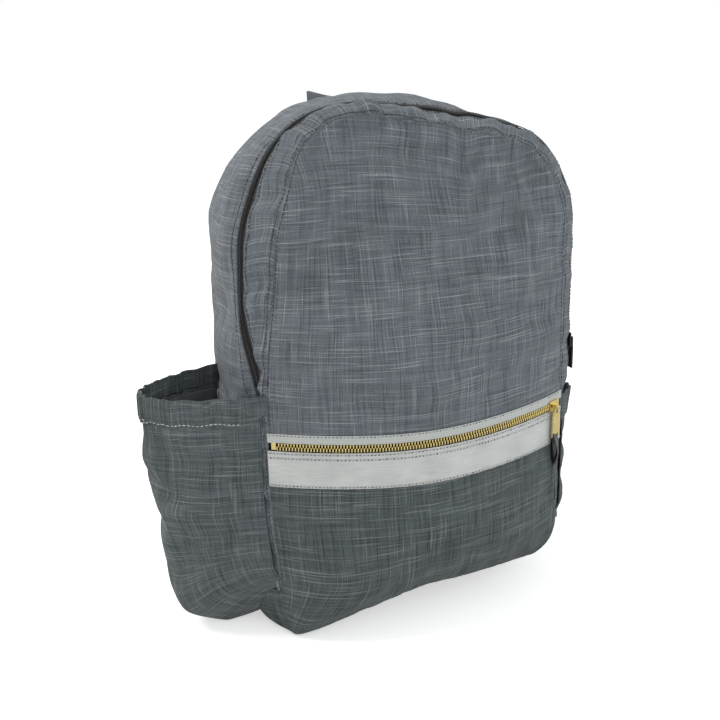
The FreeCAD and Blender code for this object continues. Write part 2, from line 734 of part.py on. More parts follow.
def bowed_band(name, radius, thick, width, spread, plane, axis, swap=False):
    """A flat band bent to an arc about one of its body's own axes, centred on that axis."""
    body = new_body(name)
    sketch = new_sketch(body, plane)
    near, far, low, high = f"{radius} - ({thick})", radius, f"-({width}) / 2", f"({width}) / 2"
    if swap:
        rectangle(sketch, low, high, near, far)
    else:
        rectangle(sketch, near, far, low, high)
    turn = body.newObject("PartDesign::Revolution", "Bend")
    turn.Profile = sketch
    turn.ReferenceAxis = ([a for a in body.Origin.OriginFeatures if a.Role == axis][0], [""])
    turn.Midplane = True
    bind(turn, "Angle", spread)
    return body


HANDLE_RADIUS = "((handle_half * handle_half + handle_bow * handle_bow) / (2 * handle_bow))"


def handle_piece():
    """The grab handle: slack webbing sewn at both ends across the top of the back."""
    spread = f"2 * asin(handle_half / ({HANDLE_RADIUS}))"
    body = bowed_band("grab_handle", HANDLE_RADIUS, "handle_thick", "handle_width", spread,
                      "YZ_Plane", "Z_Axis")
    inner_end = f"({HANDLE_RADIUS} - handle_thick) * (1 - handle_bow / ({HANDLE_RADIUS}))"
    place(body, depth=f"back_face + handle_clear - {inner_end}", up="handle_level")
    keep(body, "grab_handle")


ANCHOR_PLACE = "(body_half - anchor_inset)"
STRAP_RUN = f"sqrt(({ANCHOR_PLACE} - root_place) ^ 2 + (root_level - anchor_level) ^ 2)"
PAD_RUN = f"({STRAP_RUN} - pad_foot)"
PAD_CHORD = f"sqrt({PAD_RUN} ^ 2 + pad_foot_out ^ 2)"
PAD_RADIUS = f"(({PAD_CHORD} ^ 2 / 4 + strap_bow ^ 2) / (2 * strap_bow))"
PAD_SPREAD = f"2 * asin({PAD_CHORD} / 2 / {PAD_RADIUS})"
PAD_LEAN = f"atan(pad_foot_out / {PAD_RUN})"


def strap_place(side):
    """Where a strap stands: its own Z runs from the lower anchor up to the sewn root."""
    root = Vector(side * value("root_place"), 0, value("root_level"))
    foot = Vector(side * value(ANCHOR_PLACE), 0, value("anchor_level"))
    foot.y = root.y = value("back_face + yoke_thick")
    lean = math.atan2(root.x - foot.x, root.z - foot.z)
    return Placement(foot, Rotation(Vector(0, 1, 0), math.degrees(lean)))


def pad_arc_place():
    """The pad's arc in the strap's own frame: from the ladder lock up to the root."""
    run, out = value(PAD_RUN), value("pad_foot_out")
    lean = math.radians(value(PAD_LEAN))
    middle = Vector(0, out / 2, value("pad_foot") + run / 2)
    back = value(PAD_RADIUS) - value("strap_bow")
    centre = middle - Vector(0, math.cos(lean), math.sin(lean)) * back
    return Placement(centre, Rotation(Vector(1, 0, 0), math.degrees(lean)))


def strap_box(name, here, side_reach, near, far, low, high):
    """A block in a strap's own frame, even about its middle line."""
    body = new_body(name)
    sketch = new_sketch(body, "XY_Plane", low)
    rectangle(sketch, f"-({side_reach})", side_reach, near, far)
    pad(body, sketch, f"{high} - ({low})")
    body.Placement = here
    return body


def strap_arc(name, here, inset):
    """The bowed band of a strap, or of its foam an even inset smaller."""
    body = bowed_band(name, f"{PAD_RADIUS} + strap_thick - {inset}", f"strap_thick - 2 * {inset}",
                      f"strap_width - 2 * {inset}", PAD_SPREAD, "XY_Plane", "X_Axis", swap=True)
    body.Placement = here * pad_arc_place()
    return body


def web_outline(here, name, corners):
    """Webbing seen edge on in a strap's own frame, as wide as the webbing."""
    body = new_body(name)
    sketch = new_sketch(body, "YZ_Plane")
    polygon(sketch, corners)
    pad(body, sketch, "web_width", midplane=True)
    body.Placement = here
    return body


def strap_pieces(name, side):
    """One shoulder strap: sewn root, cover, foam, webbing loop, ladder lock and webbing."""
    here = strap_place(side)
    cut_level = f"({STRAP_RUN} - strap_cut)"
    whole = strap_arc(f"{name}_strap_whole", here, "0")
    inside = strap_arc(f"{name}_strap_inside", here, "strap_cover")

    def stretch(label, band_part, low, high):
        """The part of a bowed band between two levels."""
        block = strap_box(f"{name}_{label}_block", here, "strap_width", "-strap_width",
                          "2 * strap_width", low, high)
        return common(f"{name}_{label}", band_part, block)

    root = stretch("strap_root", whole, f"{cut_level} + strap_gap", f"{STRAP_RUN} + strap_width")
    keep(root, f"{name}_strap_root")
    padded = stretch("strap_padded", whole, "pad_foot", cut_level)
    foam = stretch("strap_foam", inside, "pad_foot + strap_cover", f"{cut_level} - strap_cover")
    keep(cut(f"{name}_strap_cover", padded, foam), f"{name}_strap_cover")
    keep(foam, f"{name}_strap_foam")
    strap_hardware(name, here)
    strap_webbing(name, here)


LOCK_TOP = "(pad_foot - loop_length + lock_bar + web_thick + strap_gap)"
LOCK_FOOT = f"({LOCK_TOP} - lock_length)"
LOCK_NEAR = "(pad_foot_out + strap_thick / 2 - lock_thick / 2)"
LOCK_FAR = f"({LOCK_NEAR} + lock_thick)"
LOOP_SLOT_LOW = f"({LOCK_TOP} - lock_bar - 2 * web_thick - 2 * strap_gap)"
WEB_SLOT = "((lock_length - 3 * lock_bar - 2 * web_thick - 2 * strap_gap) / 2)"
WEB_SLOT_LOW = f"({LOOP_SLOT_LOW} - lock_bar - {WEB_SLOT})"
WEB_NEAR = f"({LOCK_NEAR} - strap_gap - web_thick)"
WEB_FAR = f"({LOCK_FAR} + strap_gap)"


def strap_hardware(name, here):
    """The short loop sewn in the pad's end and the ladder lock that hangs in it."""
    loop_low = f"({LOCK_TOP} - lock_bar - strap_gap - web_thick)"
    keep(web_outline(here, f"{name}_web_loop", [
        (WEB_NEAR, "pad_foot"), (WEB_NEAR, loop_low),
        (f"{WEB_FAR} + web_thick", loop_low), (f"{WEB_FAR} + web_thick", "pad_foot"),
        (WEB_FAR, "pad_foot"), (WEB_FAR, f"{loop_low} + web_thick"),
        (f"{WEB_NEAR} + web_thick", f"{loop_low} + web_thick"),
        (f"{WEB_NEAR} + web_thick", "pad_foot"),
    ]), f"{name}_web_loop")
    lock = strap_box(f"{name}_lock_frame", here, "lock_width / 2", LOCK_NEAR, LOCK_FAR,
                     LOCK_FOOT, LOCK_TOP)
    slots = (("loop_slot", LOOP_SLOT_LOW, f"{LOCK_TOP} - lock_bar"),
             ("web_slot", WEB_SLOT_LOW, f"{WEB_SLOT_LOW} + {WEB_SLOT}"),
             ("foot_slot", f"{LOCK_FOOT} + lock_bar / 2", f"{LOCK_FOOT} + lock_bar / 2 + {WEB_SLOT}"))
    for label, low, high in slots:
        slot = strap_box(f"{name}_{label}", here, "web_width / 2 + strap_gap", "0",
                         "2 * pad_foot_out", low, high)
        lock = cut(f"{name}_lock_{label}", lock, slot)
    keep(lock, f"{name}_ladder_lock")


def strap_webbing(name, here):
    """Webbing from the lower corner, up through the ladder lock and down to its free end.

    Its sewn end is a piece of the bag, and the rest moves with the strap."""
    start = "(anchor_length + strap_gap)"
    over = f"({WEB_SLOT_LOW} + strap_gap)"
    end = f"{LOCK_FOOT} - free_end"
    keep(web_outline(here, f"{name}_strap_webbing", [
        (f"{WEB_NEAR} * {start} / {LOCK_FOOT}", start), (WEB_NEAR, LOCK_FOOT),
        (WEB_NEAR, f"{over} + web_thick"), (f"{WEB_FAR} + web_thick", f"{over} + web_thick"),
        (f"{WEB_FAR} + web_thick", end), (WEB_FAR, end), (WEB_FAR, over),
        (f"{WEB_NEAR} + web_thick", over), (f"{WEB_NEAR} + web_thick", LOCK_FOOT),
        (f"{WEB_NEAR} * {start} / {LOCK_FOOT} + web_thick", start),
    ]), f"{name}_strap_webbing")
    reach = f"{WEB_NEAR} * anchor_length / {LOCK_FOOT}"
    keep(web_outline(here, f"{name}_strap_anchor", [
        ("-yoke_thick", "-anchor_length / 2"), ("web_thick - yoke_thick", "-anchor_length / 2"),
        ("web_thick - yoke_thick", "0"), (f"{reach} + web_thick", "anchor_length"),
        (reach, "anchor_length"), ("-yoke_thick", "0"),
    ]), f"{name}_strap_anchor")


def yoke_piece():
    """Patches that carry the straps: a yoke across the back and a tab at each lower corner."""
    body = new_body("yoke")
    sketch = new_sketch(body, "XZ_Plane")
    rectangle(sketch, "-(root_place + strap_width / 2)", "root_place + strap_width / 2",
              "root_level - yoke_height / 2", "root_level + yoke_height / 2")
    pad(body, sketch, "yoke_thick")
    place(body, depth="back_face + yoke_thick")
    keep(body, "strap_yoke")


def export():
    """Checks every object, then writes each sub-part under its own name."""
    doc.recompute()
    for item in doc.Objects:
        if {"Invalid", "Error"} & set(item.State):
            raise RuntimeError(f"{item.Label}: {item.State}")
    os.makedirs("parts", exist_ok=True)
    for item in exports:
        if item.Shape.isNull() or not item.Shape.isValid():
            raise RuntimeError(f"{item.Label} has no sound shape")
    for item in exports:
        item.Shape.exportStep(f"parts/{item.Label}.step")
        print(f"{item.Label:24s} {len(item.Shape.Solids)} solids {item.Shape.Volume / 1000:9.2f} cm3")


back_pieces()
side_pieces()
bottom_piece()
front_pieces()
front_zip_metal()
main_zip_rows()
main_zip_stops()
flap_pieces()
bag_outside = bag_block()
pocket_pieces("left", -1)
pocket_pieces("right", 1)
sliders_and_pulls()
handle_piece()
strap_pieces("left", -1)
strap_pieces("right", 1)
yoke_piece()
export()
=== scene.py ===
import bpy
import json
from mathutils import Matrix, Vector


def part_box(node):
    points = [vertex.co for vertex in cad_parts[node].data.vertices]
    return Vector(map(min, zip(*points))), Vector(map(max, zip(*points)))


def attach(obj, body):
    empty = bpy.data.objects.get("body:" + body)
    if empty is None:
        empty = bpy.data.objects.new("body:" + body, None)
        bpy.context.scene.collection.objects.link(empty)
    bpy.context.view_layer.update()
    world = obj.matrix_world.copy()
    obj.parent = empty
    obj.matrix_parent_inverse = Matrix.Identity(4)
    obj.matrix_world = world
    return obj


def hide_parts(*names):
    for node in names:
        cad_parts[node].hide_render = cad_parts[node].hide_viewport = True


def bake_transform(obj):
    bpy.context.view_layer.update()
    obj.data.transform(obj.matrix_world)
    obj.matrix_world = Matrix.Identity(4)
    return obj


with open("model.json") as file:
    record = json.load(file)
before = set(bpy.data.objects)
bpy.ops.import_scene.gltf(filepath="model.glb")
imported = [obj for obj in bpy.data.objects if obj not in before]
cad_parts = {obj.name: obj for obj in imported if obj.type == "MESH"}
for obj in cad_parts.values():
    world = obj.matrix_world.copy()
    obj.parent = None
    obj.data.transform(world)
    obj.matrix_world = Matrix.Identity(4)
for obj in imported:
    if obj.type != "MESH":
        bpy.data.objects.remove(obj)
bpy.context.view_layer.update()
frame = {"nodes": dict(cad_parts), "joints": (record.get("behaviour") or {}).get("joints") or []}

import json
import math

import bmesh
import bpy
import numpy as np
from mathutils import Matrix, Vector

# ---- Studio -------------------------------------------------------------------------
# A pale floor and a soft white room. The camera looks a little down on the bag from its
# front left, and the lamps stand high on the left and behind it, with a fill in front.
scene = bpy.context.scene
scene.view_settings.view_transform = "Standard"

HEADING, DIP, TILT = math.radians(19.14), math.radians(17.39), math.radians(-1.48)
forward = Vector((math.sin(HEADING) * math.cos(DIP), math.cos(HEADING) * math.cos(DIP), -math.sin(DIP)))
level = Vector((math.cos(HEADING), -math.sin(HEADING), 0))
above = level.cross(forward)
side_axis = level * math.cos(TILT) + above * math.sin(TILT)
up_axis = above * math.cos(TILT) - level * math.sin(TILT)
camera = bpy.data.objects.new("camera", bpy.data.cameras.new("camera"))
camera.data.lens, camera.data.sensor_width = 50.97, 36
turn = Matrix((side_axis, up_axis, -forward)).transposed().to_4x4()
camera.matrix_world = Matrix.Translation((-0.2887, -0.7534, 0.4299)) @ turn
scene.collection.objects.link(camera)
scene.camera = camera


def lamp(name, place, target, size, watts, tint=(1, 1, 1)):
    light = bpy.data.objects.new(name, bpy.data.lights.new(name, "AREA"))
    light.data.size, light.data.energy, light.data.color = size, watts, tint
    light.location = place
    light.rotation_mode = "QUATERNION"
    light.rotation_quaternion = (Vector(target) - Vector(place)).to_track_quat("-Z", "Y")
    scene.collection.objects.link(light)


lamp("key_lamp", (-1.3, 0.5, 1.7), (0, 0, 0.25), 1.0, 29, (1.0, 0.985, 0.96))
lamp("front_fill", (0.3, -2.2, 1.3), (0, 0, 0.2), 1.8, 17, (0.96, 0.98, 1.0))
lamp("right_fill", (1.9, -0.5, 0.9), (0, 0, 0.2), 1.4, 8, (0.95, 0.975, 1.0))


def node_material(name):
    material = bpy.data.materials.new(name)
    material.use_nodes = True
    tree = material.node_tree
    shader = tree.nodes["Principled BSDF"]
    return material, tree, shader


def put(tree, kind, **settings):
    node = tree.nodes.new(kind)
    for key, setting in settings.items():
        if hasattr(node, key):
            setattr(node, key, setting)
        else:
            node.inputs[key.replace("_", " ")].default_value = setting
    return node


ROOM_LIGHT = 0.62
world = bpy.data.worlds.new("white_room")
scene.world = world
world.use_nodes = True
room = world.node_tree.nodes["Background"]
room.inputs["Color"].default_value = (1, 1, 1, 1)
rays = world.node_tree.nodes.new("ShaderNodeLightPath")
seen = world.node_tree.nodes.new("ShaderNodeMath")
seen.operation = "MAXIMUM"
strength = world.node_tree.nodes.new("ShaderNodeMapRange")
strength.inputs["To Min"].default_value = ROOM_LIGHT
strength.inputs["To Max"].default_value = 1.0
world.node_tree.links.new(rays.outputs["Is Camera Ray"], seen.inputs[0])
world.node_tree.links.new(rays.outputs["Is Glossy Ray"], seen.inputs[1])
world.node_tree.links.new(seen.outputs[0], strength.inputs["Value"])
world.node_tree.links.new(strength.outputs["Result"], room.inputs["Strength"])

FLOOR_LEVEL, FLOOR_SIZE = -0.0205, 14.0
floor_mesh = bpy.data.meshes.new("floor")
corner = FLOOR_SIZE / 2
floor_mesh.from_pydata([(-corner, -corner, FLOOR_LEVEL), (corner, -corner, FLOOR_LEVEL),
                        (corner, corner, FLOOR_LEVEL), (-corner, corner, FLOOR_LEVEL)], [], [(0, 1, 2, 3)])
floor = bpy.data.objects.new("floor", floor_mesh)
scene.collection.objects.link(floor)
floor_paint, tree, shader = node_material("floor_paint")
shader.inputs["Base Color"].default_value = (0.86, 0.86, 0.86, 1)
shader.inputs["Roughness"].default_value = 0.9
shader.inputs["Specular IOR Level"].default_value = 0.1
glow = tree.nodes.new("ShaderNodeLightPath")
bright = tree.nodes.new("ShaderNodeMath")
bright.operation, bright.inputs[1].default_value = "MULTIPLY", 0.50
tree.links.new(glow.outputs["Is Camera Ray"], bright.inputs[0])
shader.inputs["Emission Color"].default_value = (1, 1, 1, 1)
tree.links.new(bright.outputs[0], shader.inputs["Emission Strength"])
floor_mesh.materials.append(floor_paint)

# ---- The bag's form -----------------------------------------------------------------
# Front panel, gussets and back are flat cuts of cloth sewn edge to edge round an arch.
# Its sizes come from the frame; the loaded bag then slumps, mostly at its crown.
FABRIC = 0.0015
back_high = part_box("back_panel")[1]
seam_box, lower_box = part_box("flap_gusset"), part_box("lower_front_panel")
HALF, TOP, BACK = back_high.x, back_high.z, back_high.y
SEAM = seam_box[0].y - FABRIC
SEAM_TOP, SEAM_HALF = seam_box[1].z - 0.005, lower_box[1].x
SHOULDER, SEAM_SHOULDER, FOOT = 0.100, 0.090, 0.028
BELLY_RISE = SEAM - lower_box[0].y
BELLY_RADIUS = (SEAM_HALF ** 2 + BELLY_RISE ** 2) / (2 * BELLY_RISE)
BELLY_LOW, BELLY_HIGH = 0.060, 0.150
ZIP = -0.044
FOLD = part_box("upper_front_panel")[0].z
SEAM_TURN = 0.0022
LOAD_MIDDLE = np.array([0, 0.20])


def ease(value, start, end):
    share = np.clip((np.asarray(value, float) - start) / (end - start), 0, 1)
    return share * share * (3 - 2 * share)


def bump(value, middle, width):
    return np.exp(-((np.asarray(value, float) - middle) / width) ** 2)


def run_along(line):
    """How far each point of a line lies from its first one, measured along it."""
    return np.concatenate([[0], np.cumsum(np.linalg.norm(np.diff(line, axis=0), axis=1))])


def half_width(z, half, top, shoulder):
    z = np.asarray(z, float)
    over = np.clip(z - (top - shoulder), 0, shoulder)
    under = np.clip(FOOT - z, 0, FOOT)
    return (half - shoulder + np.sqrt(np.maximum(shoulder ** 2 - over ** 2, 0))
            - FOOT + np.sqrt(np.maximum(FOOT ** 2 - under ** 2, 0)))


def front_depth(x, z):
    low = 1 - (1 - np.clip(z / BELLY_LOW, 0, 1)) ** 3
    high = np.cos(np.pi / 2 * np.clip((z - BELLY_HIGH) / (SEAM_TOP - BELLY_HIGH), 0, 1)) ** 2
    reach = np.sqrt(BELLY_RADIUS ** 2 - np.clip(x, -SEAM_HALF, SEAM_HALF) ** 2)
    return SEAM - low * high * (reach - np.sqrt(BELLY_RADIUS ** 2 - SEAM_HALF ** 2))


CROWN_DIP, CROWN_DENT, BACK_SINK, RIGHT_SINK = 0.0085, 0.004, 0.011, 0.0095
BELLY_SAG, UPPER_TUCK, LOWER_TUCK = 0.0035, 0.0035, 0.009
FRONT_FOOT_DROP, REAR_FOOT_DROP = 0.0200, 0.0190


def slump(points):
    """Where the filled bag's cloth has sunk and leant: the crown dips right of its middle, the
    upper left seam leans in, the back's crown sinks, and the front left foot settles lowest."""
    p = np.array(points, float)
    x, y, z = p[..., 0].copy(), p[..., 1].copy(), p[..., 2].copy()
    near = 1 - ease(y, SEAM, SEAM + 0.040)
    far = ease(y, ZIP + 0.004, 0.050)
    crown = ease(z, 0.27, 0.375)
    dip = CROWN_DIP * bump(x, 0.022, 0.050) + CROWN_DENT * bump(x, 0.037, 0.011)
    p[..., 2] -= crown * (near * dip + 0.002 * bump(x, 0.05, 0.06))
    p[..., 2] -= far * BACK_SINK * ease(z, 0.25, 0.385) * (1 - 0.9 * bump(x, -0.010, 0.060))
    p[..., 0] -= np.sign(x) * far * 0.006 * ease(np.abs(x), 0.05, 0.13) * ease(z, 0.13, 0.22)
    p[...,
      2] -= (RIGHT_SINK * bump(x, 0.074, 0.036) + 0.007 * far * bump(x, 0.060, 0.055)) * ease(z, 0.29, 0.37)
    p[..., 2] -= BELLY_SAG * near * bump(x, -0.01, 0.075) * ease(z, 0.05, 0.10) * (1 - ease(z, 0.19, 0.26))
    p[..., 0] -= UPPER_TUCK * ease(x, 0.06, 0.125) * ease(z, 0.285, 0.34)
    p[..., 0] -= LOWER_TUCK * ease(y, SEAM + 0.002, ZIP) * ease(x, 0.06, 0.125) * (1 - ease(z, 0.10, 0.172))
    left = ease(-x, 0.03, 0.125)
    lean = 0.011 * bump(z, 0.280, 0.060) + 0.011 * bump(z, 0.333, 0.034) + 0.008 * (1 - ease(z, 0.0, 0.10))
    p[..., 0] += near * left * lean
    corner = (1 - ease(y, -0.035, 0.045)) * ease(-x, 0.02, 0.10) * (1 - ease(z, 0.0, 0.045))
    p[..., 0] -= corner * (0.60 + 0.15 * ease(y, SEAM, ZIP)) * np.maximum(0.130 + x, 0)
    foot = 1 - ease(z, 0.0, 0.09)
    p[..., 2] += foot * near * (0.008 * ease(x, 0.02, 0.13) - FRONT_FOOT_DROP * ease(-x, -0.02, 0.115))
    p[..., 2] -= foot * (1 - near) * REAR_FOOT_DROP * ease(-x, 0.0, 0.115) * (1 - ease(y, -0.01, 0.06))
    p[..., 2] += foot * near * 0.0035 * ease(-x, 0.088, 0.122)
    p[..., 1] -= foot * near * 0.0095 * bump(x, -0.070, 0.034)
    return p


def waves(u, v, terms):
    """Slow folds in cloth: each term is height, length across the fold, its angle and a phase."""
    height = np.zeros(np.broadcast(u, v).shape)
    for tall, long, angle, phase in terms:
        along = u * math.cos(angle) + v * math.sin(angle)
        across = v * math.cos(angle) - u * math.sin(angle)
        bend = 0.35 * np.sin(along * 2 * math.pi / (3.1 * long) + 2.1 * phase)
        height += tall * np.sin(across * 2 * math.pi / long + phase + 2.2 * bend)
    return height


def sheet_mesh(name, points, uv):
    """A grid of points, rows by columns, as a mesh with its own flat pattern as UV, in metres."""
    rows, columns = points.shape[:2]
    index = np.arange(rows * columns).reshape(rows, columns)
    faces = np.stack([index[:-1, :-1], index[:-1, 1:], index[1:, 1:], index[1:, :-1]], -1).reshape(-1, 4)
    mesh = bpy.data.meshes.new(name)
    mesh.from_pydata(points.reshape(-1, 3).tolist(), [], faces.tolist())
    layer = mesh.uv_layers.new(name="pattern")
    flat = uv.reshape(-1, 2)[faces.reshape(-1)]
    layer.data.foreach_set("uv", flat.astype(np.float32).ravel())
    mesh.polygons.foreach_set("use_smooth", [True] * len(mesh.polygons))
    piece = bpy.data.objects.new(name, mesh)
    scene.collection.objects.link(piece)
    return piece


def apply_modifiers(piece):
    graph = bpy.context.evaluated_depsgraph_get()
    graph.update()
    done = bpy.data.meshes.new_from_object(piece.evaluated_get(graph), depsgraph=graph)
    old = piece.data
    piece.modifiers.clear()
    piece.data = done
    bpy.data.meshes.remove(old)
    return piece


def settle(piece, held, slack, push, furthest, frames=18, bending=0.4, stiffness=18):
    """Cloth simulation: seams are held, the cloth between them is cut larger by slack, the filling
    pushes it out, and no point ends further than furthest from where it was laid."""
    start = np.empty(len(piece.data.vertices) * 3)
    piece.data.vertices.foreach_get("co", start)
    group = piece.vertex_groups.new(name="sewn")
    for weight in sorted(set(np.round(held, 2).tolist())):
        chosen = np.flatnonzero(np.round(held, 2) == weight).tolist()
        if weight > 0:
            group.add(chosen, weight, "REPLACE")
    modifier = piece.modifiers.new("cloth", "CLOTH")
    cloth = modifier.settings
    cloth.quality, cloth.mass, cloth.air_damping = 5, 0.15, 2.0
    cloth.tension_stiffness = cloth.compression_stiffness = stiffness
    cloth.shear_stiffness, cloth.bending_stiffness = stiffness / 3, bending
    cloth.vertex_group_mass, cloth.pin_stiffness = "sewn", 1.0
    cloth.shrink_min = cloth.shrink_max = -slack
    cloth.use_pressure, cloth.uniform_pressure_force = True, push
    cloth.effector_weights.gravity = 0
    modifier.collision_settings.use_collision = False
    modifier.point_cache.frame_end = frames
    for step in range(1, frames + 1):
        scene.frame_set(step)
    graph = bpy.context.evaluated_depsgraph_get()
    settled = piece.evaluated_get(graph).to_mesh()
    end = np.empty(len(settled.vertices) * 3)
    settled.vertices.foreach_get("co", end)
    piece.evaluated_get(graph).to_mesh_clear()
    piece.modifiers.clear()
    piece.vertex_groups.clear()
    scene.frame_set(1)
    move = (end - start).reshape(-1, 3)
    far = np.linalg.norm(move, axis=1, keepdims=True)
    move *= furthest / np.maximum(furthest, far) * np.where(np.isfinite(far), 1, 0)
    piece.data.vertices.foreach_set("co", (start.reshape(-1, 3) + np.nan_to_num(move)).ravel())
    piece.data.update()
    return piece


def grid_of(piece, rows, columns):
    flat = np.empty(len(piece.data.vertices) * 3)
    piece.data.vertices.foreach_get("co", flat)
    return flat.reshape(rows, columns, 3)


def edge_hold(rows, columns, top=True, bottom=True, left=True, right=True):
    """1 along the sewn edges, easing to nothing three rows in."""
    fade = np.array([1.0, 1.0, 0.5, 0.2])
    hold = np.zeros((rows, columns))
    for k, weight in enumerate(fade):
        if bottom:
            hold[k] = np.maximum(hold[k], weight)
        if top:
            hold[-1 - k] = np.maximum(hold[-1 - k], weight)
        if left:
            hold[:, k] = np.maximum(hold[:, k], weight)
        if right:
            hold[:, -1 - k] = np.maximum(hold[:, -1 - k], weight)
    return hold


def flat_cut(piece):
    """The sides and area of the flat shape that a cloth was cut to, from its own pattern."""
    corners = np.empty(len(piece.data.loops) * 2)
    piece.data.uv_layers["pattern"].data.foreach_get("uv", corners)
    corners = corners.reshape(-1, 4, 2)
    sides = [float(side) for side in np.ptp(corners.reshape(-1, 2), axis=0)]
    one, two = corners[:, 2] - corners[:, 0], corners[:, 3] - corners[:, 1]
    area = float(np.abs(one[:, 0] * two[:, 1] - one[:, 1] * two[:, 0]).sum() / 2)
    return sides, min(area, sides[0] * sides[1])


def finish_cloth(piece, material, inner=None, thick=FABRIC, smooth=1, out=0.0, held=None):
    sides, area = flat_cut(piece) if held else (None, None)
    wall = piece.modifiers.new("wall", "SOLIDIFY")
    wall.thickness, wall.offset, wall.use_even_offset = thick, -1 + 2 * out, False
    piece.data.materials.append(material)
    if inner is not None:
        piece.data.materials.append(inner)
        wall.material_offset = 1
    fine = piece.modifiers.new("fine", "SUBSURF")
    fine.levels = fine.render_levels = smooth
    fine.uv_smooth = "PRESERVE_BOUNDARIES"
    apply_modifiers(piece)
    return piece


# ---- Chambray -----------------------------------------------------------------------
# A plain-woven cotton of grey-blue warp and dark weft with uneven, slubby yarns. Every
# outer panel is cut from it, so its weave follows each panel's own flat pattern.
def slub_weave():
    group = bpy.data.node_groups.new("slub_weave", "ShaderNodeTree")
    face = group.interface
    for title, kind, start in (("Pattern", "NodeSocketVector", None), ("Thread", "NodeSocketFloat", 1150.0),
                               ("Seed", "NodeSocketFloat", 0.0),
                               ("Base", "NodeSocketColor", (0.12, 0.14, 0.16, 1)),
                               ("Pale Yarn", "NodeSocketColor", (0.36, 0.38, 0.4, 1)),
                               ("Dark Yarn", "NodeSocketColor", (0.04, 0.05, 0.06, 1))):
        socket = face.new_socket(name=title, in_out="INPUT", socket_type=kind)
        if start is not None:
            socket.default_value = start
    for title, kind in (("Color", "NodeSocketColor"), ("Height", "NodeSocketFloat"),
                        ("Rough", "NodeSocketFloat")):
        face.new_socket(name=title, in_out="OUTPUT", socket_type=kind)
    given, made = group.nodes.new("NodeGroupInput"), group.nodes.new("NodeGroupOutput")
    link = group.links.new

    def math_node(kind, first, second=None):
        node = group.nodes.new("ShaderNodeMath")
        node.operation = kind
        for slot, source in enumerate((first, second)):
            if source is None:
                continue
            if isinstance(source, (int, float)):
                node.inputs[slot].default_value = source
            else:
                link(source, node.inputs[slot])
        return node.outputs[0]

    apart = group.nodes.new("ShaderNodeSeparateXYZ")
    link(given.outputs["Pattern"], apart.inputs[0])
    across, along = apart.outputs["X"], apart.outputs["Y"]

    def yarn(wide, tall, shift, low, high, detail=1.0):
        """A mask of streaks: wide and tall are how many fit in a metre each way."""
        place = group.nodes.new("ShaderNodeCombineXYZ")
        link(math_node("MULTIPLY", across, wide), place.inputs[0])
        link(math_node("MULTIPLY", along, tall), place.inputs[1])
        link(math_node("ADD", given.outputs["Seed"], shift), place.inputs[2])
        cloud = group.nodes.new("ShaderNodeTexNoise")
        cloud.inputs["Scale"].default_value, cloud.inputs["Detail"].default_value = 1.0, detail
        link(place.outputs[0], cloud.inputs["Vector"])
        cut = group.nodes.new("ShaderNodeMapRange")
        cut.inputs["From Min"].default_value, cut.inputs["From Max"].default_value = low, high
        link(cloud.outputs[0], cut.inputs["Value"])
        return cut.outputs["Result"]

    pale_weft = yarn(22, 1250, 1.3, 0.57, 0.72)
    pale_warp = yarn(1300, 30, 7.7, 0.59, 0.76)
    dark_weft = yarn(24, 900, 13.1, 0.52, 0.68)
    dark_warp = yarn(760, 20, 21.9, 0.50, 0.68)
    broad_weft = yarn(14, 150, 31.0, 0.30, 0.70, 2.0)
    broad_warp = yarn(110, 9, 37.0, 0.30, 0.70, 2.0)
    cloudy = yarn(16, 16, 43.0, 0.25, 0.75, 2.0)
    heather = yarn(620, 1500, 51.0, 0.20, 0.80, 2.0)

    def wave(along_axis):
        angle = math_node("MULTIPLY", along_axis, given.outputs["Thread"])
        return math_node("SINE", math_node("MULTIPLY", angle, 2 * math.pi))

    crossing = math_node("MULTIPLY", wave(across), wave(along))
    weave = math_node("ADD", math_node("MULTIPLY", crossing, 0.5), 0.5)

    def blend(amount, first, second, mode="MIX"):
        mix = group.nodes.new("ShaderNodeMix")
        mix.data_type, mix.blend_type = "RGBA", mode
        for slot, source in ((0, amount), (6, first), (7, second)):
            if isinstance(source, (int, float)):
                mix.inputs[slot].default_value = source
            elif isinstance(source, tuple):
                mix.inputs[slot].default_value = source
            else:
                link(source, mix.inputs[slot])
        return mix.outputs[2]

    colour = blend(math_node("MULTIPLY", dark_warp, 0.56), given.outputs["Base"], given.outputs["Dark Yarn"])
    colour = blend(math_node("MULTIPLY", dark_weft, 0.46), colour, given.outputs["Dark Yarn"])
    colour = blend(math_node("MULTIPLY", pale_warp, 0.34), colour, given.outputs["Pale Yarn"])
    colour = blend(math_node("MULTIPLY", pale_weft, 0.37), colour, given.outputs["Pale Yarn"])
    tone = math_node("ADD", math_node("MULTIPLY", broad_weft, 0.16), math_node("MULTIPLY", broad_warp, 0.16))
    tone = math_node("ADD", tone, math_node("MULTIPLY", cloudy, 0.10))
    tone = math_node("ADD", tone, math_node("MULTIPLY", weave, 0.12))
    tone = math_node("ADD", tone, math_node("MULTIPLY", heather, 0.50))
    shade = group.nodes.new("ShaderNodeMapRange")
    shade.inputs["From Max"].default_value = 1.04
    shade.inputs["To Min"].default_value, shade.inputs["To Max"].default_value = 0.42, 1.58
    link(tone, shade.inputs["Value"])
    grey = group.nodes.new("ShaderNodeCombineColor")
    for channel in range(3):
        link(shade.outputs["Result"], grey.inputs[channel])
    colour = blend(1.0, colour, grey.outputs[0], "MULTIPLY")
    link(colour, made.inputs["Color"])
    height = math_node("ADD", math_node("MULTIPLY", weave, 0.35), math_node("MULTIPLY", pale_weft, 0.4))
    height = math_node("ADD", height, math_node("MULTIPLY", pale_warp, 0.25))
    link(height, made.inputs["Height"])
    link(math_node("SUBTRACT", 0.93, math_node("MULTIPLY", pale_weft, 0.10)), made.inputs["Rough"])
    return group


SLUB_WEAVE = slub_weave()


